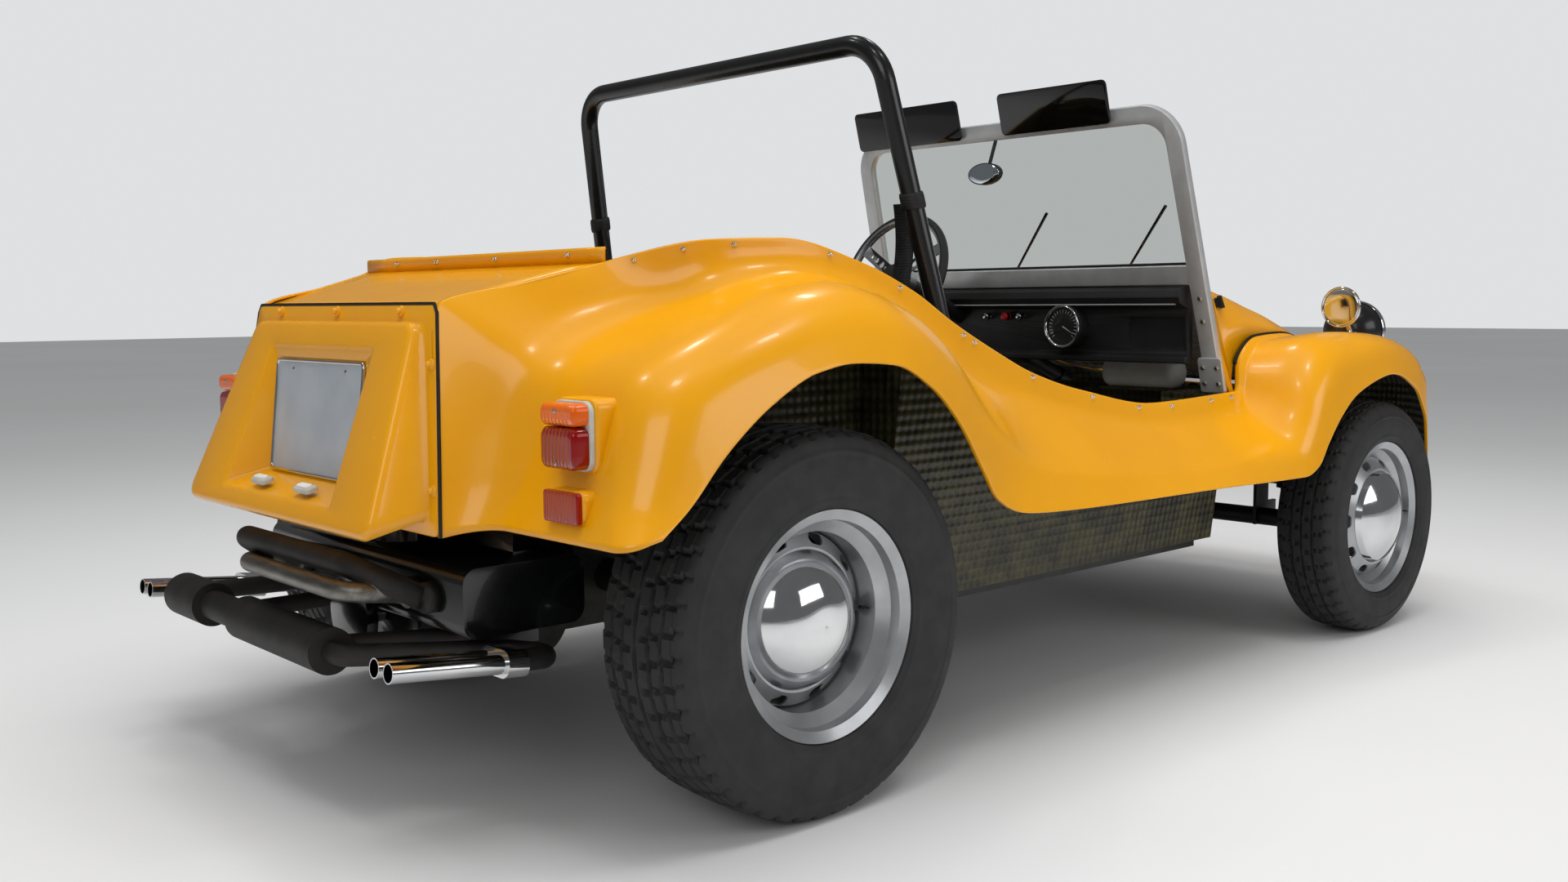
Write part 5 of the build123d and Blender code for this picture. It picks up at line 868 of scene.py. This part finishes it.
# Snap studs of the hood along the coaming: table of x on the sides, and of y across the rear
side_snaps = (-1253, -1202, -1115, -918, -718, -544, -498, -308, -110, 78, 253, 432, 528)
rear_snaps = (310, 139, -92, -343)
stud_drop = 13
socket_r, socket_rise = 5.5, 4.5
cap_r, cap_rise, cap_foot = 3.8, 5.0, 3.5
coaming_edge = fine_corners[:, 1]
below_edge = coaming_edge + unit(fine_corners[:, 2] - coaming_edge) * stud_drop
forward = unit(np.gradient(below_edge, axis=0))
skin_out = unit(np.cross(unit(fine_corners[:, 2] - coaming_edge), forward))
picked = [int(np.argmin(np.abs(below_edge[:len(side_stations) * rows_per_station,
                                          0] - x))) for x in side_snaps]
side_places, side_normals = below_edge[picked], skin_out[picked]
side_normals = np.where((side_normals[:, 2:] > 0) | (side_normals[:, 1:2] < 0), side_normals, -side_normals)
stud_places = np.concatenate([side_places, side_places * other_side,
                              [(-1290.0, y, 1000.0) for y in rear_snaps]])
stud_normals = np.concatenate([side_normals, side_normals * other_side,
                               [(-1.0, 0, 0)] * len(rear_snaps)])
stud_grids = studs(stud_places, stud_normals, socket_r, socket_rise)
stud_grids += studs(stud_places + stud_normals * cap_foot, stud_normals, cap_r, cap_rise)
mesh_piece("hood_snap_studs", stud_grids, chrome, "chassis", slot="chrome_trim")

# Engine cover: painted dome bolts on the flange and a rubber strip between the cover and the body
flange_bolts = lid_point(np.array([250.0, 0, -250, 368, 403, -368, -403]),
                         np.array([374.0, 374, 374, 285, 76, 285, 76])) + lid_out * 5
washer_r, washer_rise = 11, 5
head_r, head_rise, head_foot = 6.5, 7, 4
bolt_ways = [lid_out] * len(flange_bolts)
bolt_grids = studs(flange_bolts, bolt_ways, washer_r, washer_rise)
bolt_grids += studs(flange_bolts + lid_out * head_foot, bolt_ways, head_r, head_rise)
mesh_piece("cover_bolts", bolt_grids, gelcoat, "chassis", slot="gelcoat")
seal_foot_w, seal_narrows, seal_side_top, seal_top_w, seal_top = 431.0, 62, 372, 358, 387.5
seal_rise, seal_r = 1.5, 3.2
strip_line = np.concatenate([
    lid_point(np.full(20, -seal_foot_w) + np.linspace(0, seal_narrows, 20),
              np.linspace(0, seal_side_top, 20)),
    lid_point(np.linspace(-seal_top_w, seal_top_w, 30), np.full(30, seal_top)),
    lid_point(np.full(20, seal_foot_w) - np.linspace(seal_narrows, 0, 20),
              np.linspace(seal_side_top, 0, 20))])
mesh_piece("cover_seal",
           [(tube(strip_line + lid_out * seal_rise, seal_r, 10, over=lid_out), False, True, False)],
           seal_rubber, "chassis", slot="soft_rubber")

# Rubber strip that fills the seam between the bonnet and each fender
seam_rows = bonnet_surface[6:64, 0]
seam_strip = tube(seam_rows + np.array([0, 6.0, 1.0]), 4.5, 10)
joined("bonnet_seam_rubber", [(seam_strip, False, True, False)], seal_rubber, "chassis", slot="soft_rubber")

# Number plate: chrome frame round the blank sheet, with two round-headed screws
frame_half_w, frame_half_h, frame_corner, frame_r = 181.5, 105, 9, 3.6
plate_middle, plate_rise = 173.5, 34
plate_outline = loop(frame_half_w, frame_half_h, frame_corner)
plate_line = lid_point(plate_outline[:, 0], plate_middle + plate_outline[:, 1]) + lid_out * plate_rise
plate_ring = tube(np.concatenate([plate_line, plate_line[:2]]), frame_r, 10, over=lid_out)
mesh_piece("plate_frame", [(plate_ring[:, :-1], False, True, True)], chrome, "chassis", slot="chrome_trim")
screws = lid_point(np.array([110.0, -110.0]), np.array([262.0, 262.0])) + lid_out * 33
painted(plate_sheet, "number_plate")
mesh_piece("plate_screws", studs(screws, [lid_out] * 2, 5, 2.4), zinc_plate, "chassis", slot="chrome_trim")


def block_grid(half_w, half_h, depth, radius, edge, place, steps=5, dome=0.0):
    """Rounded block: its loop carried up to a quarter-round edge and closed over its face, which may be
    domed; place maps (across, up, out) arrays to points."""
    rings = [(half_w, half_h, 0.0)]
    for a in np.linspace(0, math.pi / 2, steps):
        inset = edge * (1 - math.cos(a))
        rings.append((half_w - inset, half_h - inset, depth - edge + edge * math.sin(a)))
    for share in (0.75, 0.45, 0.2, 0.01):
        rings.append(((half_w - edge) * share, (half_h - edge) * share, depth + dome * (1 - share**2)))
    out = []
    for w, h, d in rings:
        flat = loop(max(w, 0.3), max(h, 0.3), max(min(radius, w, h) - (half_w - w) * 0.5, 0.2))
        out.append(place(flat[:, 0], flat[:, 1], np.full(len(flat), d)))
    return np.stack(out, 1)


def on_tail(w, z, x):
    """Map of a block that stands on an upright face at the tail, looking back."""
    def place(across, up, out):
        """Point across, up and out from the block's foot."""
        return np.stack([x - out, -(w + across), z + up], -1)
    return place


# Tail lamps: pale base, amber lens over a red one, with a step between them and two screws
lamp_parts = (("tail_lamp_bases", 52, 55, 0, 8.0, 18, 3, lamp_grey),
              ("tail_lamp_red", 48.5, 33.2, -18.2, 38.0, 14, 11, red_lens),
              ("tail_lamp_amber", 48.5, 17.8, 34.2, 38.0, 12, 11, amber_lens))
for name, half_w, half_h, lift, depth, radius, edge, finish in lamp_parts:
    grid = block_grid(half_w, half_h, depth, radius, edge, on_tail(662, 708 + lift, -1497.2))
    joined(name, [(grid, True, True, False)], finish, "chassis", node="tail_lamps", slot="amber_red_lens")
screws = [(-1536.5, side * 662, z) for side in (-1, 1) for z in (748, 666)]
mesh_piece("tail_lamp_screws", studs(screws, [(-1.0, 0, 0)] * 4, 4, 1.6), zinc_plate, "chassis",
           slot="chrome_trim")
grid = block_grid(47, 25, 10, 5, 3, on_tail(674, 599, -1528.2))
joined("reflector_blocks", [(grid, True, True, False)], reflector_red, "chassis", node="tail_reflectors",
       slot="amber_red_lens")


def on_recess(side):
    """Map of a block on the sloping floor of the plate recess, left or right of the middle."""
    def place(across, up, out):
        """Point across, back along the floor and out of it."""
        return np.stack([-1690 - up * 0.94 - out * 0.33, side * 95 + across, 586 - up * 0.33 + out * 0.94],
                        -1)
    return place


# Number plate lamps: a grey pod with a milky window
for side, name in hands:
    pod = on_recess(side)
    mesh_piece("plate_lamp_pod_" + name, [(block_grid(32, 12, 9, 8, 4, pod), False, True, False)], lamp_grey,
               "chassis", node="plate_lamps", slot="white_plastic")
    mesh_piece("plate_lamp_window_" + name,
               [(block_grid(22, 7, 12.5, 5, 2, pod), False, True, False)], bottle_plastic, "chassis",
               slot="white_plastic")

# Windscreen: foot plates with bolts, more bolts up the stems, and a black seal along the glass's foot
screen_up = np.array([-0.2524, 0, math.sqrt(1 - 0.2524**2)])
screen_back = np.array([-screen_up[2], 0, screen_up[0]])
screen_foot = np.array([548.0, 0, 675])


def screen_point(y, height, back):
    """Point of the leaning windscreen: y, height along it, distance behind its middle plane."""
    return (screen_foot + screen_up * np.asarray(height, float)[..., None]
            + np.array([0, 1.0, 0]) * np.asarray(y, float)[..., None]
            + screen_back * np.asarray(back, float)[..., None])


def on_screen(y, height, back, rise=1):
    """Map of a block on the windscreen's rear or front face."""
    def place(across, up, out):
        """Point across, up and out from the block's foot."""
        return screen_point(y + across, height + up, back + rise * out)
    return place


feet, bolts = [], []
for side in (-1, 1):
    feet.append((block_grid(34, 46, 5, 8, 2, on_screen(side * 560, 48, 11.2)), False, True, False))
    for dy, dh in ((-20, 20), (20, 20), (-20, 62), (20, 62)):
        bolts.append(screen_point(side * 560 + dy, dh + 6, 16.0))
mesh_piece("screen_foot_plates", feet, screen_aluminium, "chassis", slot="aluminium_frame")
for side in (-1, 1):
    bolts += [screen_point(side * 553, 250.0, 11.0), screen_point(side * 553, 190.0, 11.0)]
mesh_piece("screen_bolts", hex_heads(bolts, [screen_back] * len(bolts), 6.5, 4.5), zinc_plate, "chassis",
           slot="aluminium_frame")
bar_line = screen_point(np.linspace(-530, 530, 24), np.full(24, 339.0), np.zeros(24))
mesh_piece("glass_seal", [(tube(bar_line, 3.4, 8), False, True, False)], seal_rubber, "chassis",
           slot="soft_rubber")

# Mirrors: glass faces and chrome rims on the fender mirrors, and a glass on the interior mirror
silver_glass = make_speckled("silvered_mirror_glass", "#D9E4EA", "#D2DEE6", 0.02, 60, 0.005, 90, Metallic=1.0)
glass_disc = [(0, 50.5), (1.2, 50), (1.6, 46), (1.8, 20), (1.9, 0.05)]
rim_ring = [(-2, 55.5), (2.2, 55.6), (4.4, 54), (4.6, 52), (1.5, 50.2)]
mirror_x, mirror_w, mirror_z = 999.6, 665, 888
for side, name in hands:
    centre = (mirror_x, side * mirror_w, mirror_z)
    lathed("fender_mirror_glass_" + name, glass_disc, 48, centre, astern, upward, silver_glass, "chassis",
           slot="mirror_face")
    lathed("fender_mirror_rim_" + name, rim_ring, 48, centre, astern, upward, chrome, "chassis",
           slot="chrome_trim")
oval = ring(40)
mirror_face = np.stack([np.stack([np.full(40, 311.0 - out), 21 + oval[:, 0] * 53 * share,
                                  1258 + oval[:, 1] * 27 * share], -1)
                        for share, out in ((1.0, 0.0), (0.98, 1.0), (0.6, 1.4), (0.01, 1.5))], 1)
mesh_piece("interior_mirror_glass", [(mirror_face, True, True, False)], silver_glass, "chassis",
           slot="mirror_face")

# Seat belts: black webbing wound round the roll bar's legs, with a hanging end
leg_low, leg_high = np.array([-540.0, 580, 850]), np.array([-657.0, 507, 1431])


def leg_point(height):
    """Point of the left leg's centre line at a height."""
    return leg_low + (leg_high - leg_low) * (height - leg_low[2]) / (leg_high[2] - leg_low[2])


belt_grids = []
for side in (-1, 1):
    flip = np.array([1, side, 1])
    low, high = leg_point(1100.0), leg_point(1132.0)
    axis = unit(high - low)
    wrap = [(0, 21.4), (0, 24), (6, 25.4), (26, 25.4), (33, 24), (33, 21.4)]
    belt_grids.append((turned(wrap, 28, low, axis, (0, 1, 0)) * flip, side < 0, True, False))
    height = np.linspace(0, 1, 26)
    hang = low + np.array([-14.0, -20, 10]) + height[:, None] * np.array([16.0, -22, -262])
    hang[:, 0] += 9 * np.sin(height * 5.2)
    half = np.array([3.0, 22.0, 0])
    thick = np.array([1.2, -0.3, 0])
    section = [hang - half - thick, hang + half - thick, hang + half + thick, hang - half + thick]
    belt_grids.append((np.stack(section, 0) * flip, side < 0, True, False))
mesh_piece("seat_belts", belt_grids, webbing, "chassis", slot="black_vinyl", sharp=60)

# Headlamps: the solids' black bowls, chrome rims and fluted glasses
painted(black_enamel, "headlamp_shells")
rim_profile = [(0, 85), (2, 87.5), (9, 89), (16, 88), (20, 84.5), (21, 81), (18, 79.5)]
glass_profile = [(17, 80.5), (20, 78), (30, 62), (37, 42), (41, 20), (42, 0.05)]
headlamp_x, headlamp_w, headlamp_z = 1293.5, 560, 816
flute_depth, flute_end_x = 0.8, 1333
for side, name in hands:
    centre = (headlamp_x, side * headlamp_w, headlamp_z)
    lathed("headlamp_rim_" + name, rim_profile, 64, centre, ahead, upward, chrome, "bonnet",
           slot="chrome_trim")
    flutes = turned(glass_profile, 96, centre, ahead, upward)
    flutes[..., 0] += flute_depth * np.cos(flutes[..., 1] * 0.55) * (flutes[..., 0] < flute_end_x)
    mesh_piece("headlamp_glass_" + name, [(flutes, False, True, False)], clear_lens, "bonnet",
               node="headlamp_lenses", slot="clear_glass")

# Indicators: the solids keep their own shape, in amber plastic
painted(amber_lens, "front_indicators")

# Steering wheel: the solid's own mesh, its grip and boss in black and its drilled spokes in bare alloy
spoke_alloy = make_brushed("drilled_spoke_alloy", "#B9BBBC", "#D4D6D7", 0.28, (1, 14, 14))
grip_leather = make_leather_grain("stitched_grip_leather", "#101010", "#181818", 0.5, 2.2)
wheel = softened("steering_wheel", grip_leather, 0.8, 40)
wheel.data.materials.append(spoke_alloy)
hub, lean = np.array([0.205, 0.255, 0.984]), math.radians(22)
grip_inner_r, boss_r = 0.172, 0.036
boss_bolt_r, boss_bolt_lift = 46, 4
spin = np.array([math.cos(lean), 0, -math.sin(lean)])
centres = np.array([p.center for p in wheel.data.polygons]) - hub
away = np.linalg.norm(centres - (centres @ spin)[:, None] * spin, axis=1)
wheel.data.polygons.foreach_set("material_index", ((away < grip_inner_r) & (away > boss_r)).astype(np.int32))
boss_bolts = []
for turn in np.radians(np.arange(0, 360, 60) + 30):
    flat = np.array([math.sin(lean), 0, math.cos(lean)]) * math.sin(turn) + np.array([0, 1,
                                                                                      0]) * math.cos(turn)
    boss_bolts.append(hub * 1000 + flat * boss_bolt_r - spin * boss_bolt_lift)
mesh_piece("wheel_boss_bolts", hex_heads(boss_bolts, [-spin] * 6, 5, 4), zinc_plate, "steering_wheel",
           slot="chrome_trim")
boss = [(0, 34), (3, 34), (9, 31), (13, 22), (15, 8), (15.2, 0.05)]
lathed("wheel_boss_cap", boss, 40, hub * 1000 - spin * 5, -spin, leftward, grained_black_abs,
       "steering_wheel",
       slot="black_moulding")

# Speedometer: chrome bezel, numberless scale, needle and glass; beside it two chrome knobs and a red one
dial_y, dial_z = -150, 841
dial = (448.6, dial_y, dial_z)
bezel = [(0, 52), (4, 57), (8, 59), (11, 56), (10, 52.5), (4, 51)]
lathed("dial_bezel", bezel, 56, (446.5, dial_y, dial_z), astern, upward, chrome, "chassis",
       slot="chrome_trim")
mark_inner_r, mark_outer_r, needle_turn = 36, 45, -2.1
marks = []
for turn in np.radians(np.arange(-130, 131, 13)):
    out = np.array([0, math.sin(turn), math.cos(turn)])
    side_way = np.array([0, math.cos(turn), -math.sin(turn)])
    inner, outer = np.array(dial) + out * mark_inner_r, np.array(dial) + out * mark_outer_r
    marks.append((np.array([[inner - side_way, inner + side_way], [outer - side_way, outer + side_way]]),
                  True, False, False))
needle_out = np.array([0, math.sin(needle_turn), math.cos(needle_turn)])
needle_side = np.array([0, math.cos(needle_turn), -math.sin(needle_turn)])
root = np.array(dial) + np.array([-2.0, 0, 0])
marks.append((np.array([[root - needle_side * 2, root + needle_side * 2],
                        [root + needle_out * 40 - needle_side * 0.5,
                         root + needle_out * 40 + needle_side * 0.5]]),
              True, False, False))
mesh_piece("dial_marks", marks, dial_mark, "chassis", slot="white_plastic", wall=0.4, weld=False)
glass_pane = [(0, 51), (0.6, 50), (1.4, 25), (1.6, 0.05)]
lathed("dial_glass", glass_pane, 48, (441, dial_y, dial_z), astern, upward, clear_lens, "chassis",
       slot="clear_glass")
knob_shape = [(0, 1.0), (4, 1.02), (5, 0.7), (12, 0.7), (13, 1.0), (18, 1.05), (20, 0.85), (20.4, 0.02)]
knobs = ((139, 9.5), (70, 11.5), (19, 9.5))
for index, (y, radius) in enumerate(knobs):
    shape = [(d, r * radius) for d, r in knob_shape]
    finish = knob_red if index == 1 else chrome
    lathed("dash_knob_%d" % index, shape, 28, (482, y, 868), astern, upward, finish, "chassis",
           slot="chrome_trim")

# Dashboard trim: a bright strip along the padded roll's lower edge
trim_line = np.stack([np.full(20, 446.0), np.linspace(-500, 500, 20), np.full(20, 900.0)], -1)
mesh_piece("dash_trim_strip", [(tube(trim_line, 2.4, 8), False, True, False)], screen_aluminium, "chassis",
           slot="aluminium_frame")


# Cushions: crowned tops with sewn channels, a welt round the edge, and puckers beside each seam

def pillow(origin, along, across, out, length, width, thick, channels, crown, corner=5.0):
    """Two sheets joined round a welt: the upper one rises by a steep power of the distance to each edge,
    is crowned by a parabola, and is pressed down in a narrow valley at each channel."""
    u = np.sin(np.linspace(-1, 1, 61) * math.pi / 2)
    v = np.sin(np.linspace(-1, 1, 81) * math.pi / 2)
    grid_u, grid_v = np.meshgrid(u, v, indexing="ij")
    edge = ((1 - np.abs(grid_u) ** corner) * (1 - np.abs(grid_v) ** corner)) ** 0.42
    valley = np.zeros_like(grid_u)
    for place in channels:
        valley += np.exp(-((grid_u - place) / 0.035) ** 2)
    pucker = 0.7 * np.sin(grid_v * 38 + grid_u * 5) * np.exp(-((np.abs(grid_v) - 0.9) / 0.1) ** 2)
    middle = thick * 0.42
    upper = middle + (thick - middle) * edge + crown * (1 - grid_u**2) * (1 - grid_v**2) * edge
    upper += (-4.5 * valley + pucker) * edge
    lower = middle - (middle - 0.8) * edge
    pull = 1 - 0.018 * (1 - np.abs(grid_v) ** 2) * (np.abs(grid_u) > 0.98)
    flat = (origin + along * (length / 2 * (1 + grid_u * pull))[..., None]
            + across * (width / 2 * grid_v)[..., None])
    rim = np.concatenate([flat[:, 0], flat[-1, :], flat[::-1, -1], flat[0, ::-1]]) + out * middle
    step = np.linalg.norm(np.diff(rim, axis=0), axis=1) > 0.4
    rim = rim[np.concatenate([[True], step])]
    welt = tube(np.concatenate([rim, rim[:2]]), 3.2, 8, over=out)[:, :-1]
    return [(flat + out * upper[..., None], False, False, False),
            (flat + out * lower[..., None], True, False, False),
            (welt, False, True, True)]


def cushion(name, node, **shape):
    """One padded piece of seat vinyl."""
    piece = mesh_piece(name, pillow(**shape), seat_vinyl, "chassis", node=node, slot="black_vinyl")
    bpy.context.view_layer.objects.active = piece
    work = bmesh.new()
    work.from_mesh(piece.data)
    bmesh.ops.recalc_face_normals(work, faces=work.faces)
    work.to_mesh(piece.data)
    work.free()


seat_w, seat_width, bench_width = 275, 378, 936
seat_slope = unit(np.array([-390.0, 0, -30]))
back_slope = unit(np.array([-100.0, 0, 516.6]))
for side, name in ((1, "left"), (-1, "right")):
    cushion("seat_cushion_" + name, "seat_pads", origin=np.array([-62.0, side * seat_w, 341.5]),
            along=seat_slope,
            across=np.array([0, 1.0, 0]), out=np.array([-0.0767, 0, 0.997]), length=346, width=seat_width,
            thick=66, channels=(-0.6, -0.3, 0.0, 0.3, 0.6), crown=12)
    cushion("seat_back_" + name, "seat_pads", origin=np.array([-492.0, side * seat_w, 418]), along=back_slope,
            across=np.array([0, 1.0, 0]), out=np.array([0.9818, 0, 0.19]), length=414, width=seat_width,
            thick=48,
            channels=(-0.66, -0.33, 0.0, 0.33, 0.66), crown=10)
cushion("bench_cushion", "rear_bench", origin=np.array([-777.0, 0, 566.5]), along=np.array([-1.0, 0, 0]),
        across=np.array([0, 1.0, 0]), out=np.array([0, 0, 1.0]), length=272, width=bench_width, thick=84,
        channels=(-0.5, 0.0, 0.5), crown=10)
cushion("bench_back", "rear_bench", origin=np.array([-1103.5, 0, 656]), along=np.array([0, 0, 1.0]),
        across=np.array([0, 1.0, 0]), out=np.array([1.0, 0, 0]), length=166, width=bench_width, thick=50,
        channels=(-0.3, 0.3), crown=6)


# Finishes of the solids that keep their own shape, and rounded edges where they show
softened("windscreen_frame", screen_aluminium, 2.5)
painted(screen_glass, "windscreen_glass")
painted(black_enamel, "roll_bar")
painted(laminate, "cockpit_tub")
painted(grained_black_abs, "steering_column", "levers_and_pedals", "wipers", "interior_mirror")
softened("dashboard", grained_black_abs, 3.0)
softened("seat_shells", grained_black_abs, 3.0)
softened("washer_bottle", bottle_plastic, 7.0)
painted(dial_face, "instruments")
softened("sun_visors", smoked_acrylic, 1.2)
painted(satin_black_paint, "floorpan", "front_axle", "rear_axle", "knuckle_left", "knuckle_right", "tie_rods",
        "shock_absorbers", "bonnet_hinge_brackets", "bonnet_hinge_arms", "bonnet_latches")
painted(chrome, "fender_mirrors", "front_bumper", "exhaust_tips")
painted(crankcase_alloy, "gearbox")
softened("engine", engine_tin, 2.5)
headers = softened("exhaust_headers", muffler_coat, 0)
headers.data.materials.append(header_steel)
# The lower cross tube's centre line, and the distance from it within which a face is bare steel
bare_pipe = np.array([(-1573.0, 226, 404), (-1682, 262, 418), (-1682, -216, 418), (-1573, -228, 404)])
bare_reach = 19.5
middles = np.array([p.center for p in headers.data.polygons]) * 1000
nearest = np.full(len(middles), 1e9)
for a, b in zip(bare_pipe, bare_pipe[1:]):
    share = np.clip(((middles - a) @ (b - a)) / ((b - a) @ (b - a)), 0, 1)[:, None]
    nearest = np.minimum(nearest, np.linalg.norm(middles - (a + (b - a) * share), axis=1))
headers.data.polygons.foreach_set("material_index", (nearest < bare_reach).astype(np.int32))
painted(muffler_coat, "muffler")


# Stage: pale floor, three large soft lights, five small lamps that spot the gloss, the photograph's camera

def flat_plane(name, half, height):
    """Square plane as a stage piece."""
    mesh = bpy.data.meshes.new(name)
    mesh.from_pydata([(-half, -half, height), (half, -half, height), (half, half, height),
                      (-half, half, height)],
                     [], [(0, 1, 2, 3)])
    piece = bpy.data.objects.new(name, mesh)
    bpy.context.scene.collection.objects.link(piece)
    return piece


floor = flat_plane("studio_floor", 40.0, 0.0)
floor_paint = make_speckled("matt_white_floor", "#E6E6E6", "#E2E2E1", 0.85, 300, 0.02, 4000)
floor.data.materials.append(floor_paint)
floor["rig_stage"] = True


def soft_light(name, place, aim, size, power, mirrored=True):
    """Area light at a place, turned to face a point. One that isn't mirrored leaves no patch in the gloss."""
    lamp = bpy.data.lights.new(name, "AREA")
    lamp.shape, lamp.size, lamp.energy = "RECTANGLE", size[0], power
    lamp.size_y = size[1]
    piece = bpy.data.objects.new(name, lamp)
    bpy.context.scene.collection.objects.link(piece)
    forward = unit(np.array(aim, float) - np.array(place, float))
    side = unit(np.cross(forward, (0, 0, 1)))
    rise = np.cross(side, forward)
    turn = np.eye(4)
    turn[:3, 0], turn[:3, 1], turn[:3, 2], turn[:3, 3] = side, rise, -forward, place
    piece.matrix_world = Matrix(turn.tolist())
    piece.visible_glossy = mirrored
    piece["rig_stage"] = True


soft_light("overhead_softbox", (-0.5, -0.6, 5.2), (0, 0, 0.4), (5.5, 4.5), 190, mirrored=False)
small_lamps = ((-2.6, 1.4), (-0.6, 1.0), (1.6, 0.6), (-2.2, -1.8), (0.4, -2.2))
for number, (lamp_x, lamp_y) in enumerate(small_lamps):
    soft_light(f"small_lamp_{number}", (lamp_x, lamp_y, 4.6), (lamp_x * 0.4, lamp_y * 0.4, 0.6), (0.5, 0.35),
               9)
soft_light("rear_softbox", (-5.5, -3.5, 3.6), (-0.6, 0, 0.6), (3.5, 2.6), 55)
soft_light("side_softbox", (1.5, -6.0, 2.8), (0.2, 0, 0.6), (4.0, 2.2), 55)

world = bpy.data.worlds.new("pale_studio")
bpy.context.scene.world = world
world.use_nodes = True
sky = world.node_tree
ray = add(sky, "LightPath")
# The world lights softly, is darker to the gloss, and is pale to the camera and through glass
clear = add(sky, "Math", [("operation", "MAXIMUM")], [(0, ray.outputs["Is Camera Ray"]),
                                                      (1, ray.outputs["Is Transmission Ray"])])
seen = add(sky, "Math", [("operation", "MULTIPLY_ADD"), (1, 0.38), (2, 0.44)], [(0, clear.outputs["Value"])])
gloss = add(sky, "Math", [("operation", "MULTIPLY_ADD"), (1, -0.3)],
            [(0, ray.outputs["Is Glossy Ray"]), (2, seen.outputs["Value"])])
sky.links.new(gloss.outputs["Value"], sky.nodes["Background"].inputs["Strength"])
sky.nodes["Background"].inputs["Color"].default_value = colour("#F4F5F7")

bpy.context.scene.view_settings.view_transform = "Standard"
eye = bpy.data.cameras.new("photo_camera")
eye.lens, eye.sensor_width = camera_lens, 36.0
eye.clip_end = 200.0
eye_object = bpy.data.objects.new("photo_camera", eye)
bpy.context.scene.collection.objects.link(eye_object)
turn = np.eye(4)
turn[:3, 0], turn[:3, 1] = camera_right, camera_up
turn[:3, 2], turn[:3, 3] = -np.array(camera_forward), camera_place
eye_object.matrix_world = Matrix(turn.tolist())
bpy.context.scene.camera = eye_object

low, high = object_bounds()
cad_low, cad_high = cad_box
sizes = {"cad": [list(cad_low), list(cad_high)], "visual": [list(low), list(high)]}
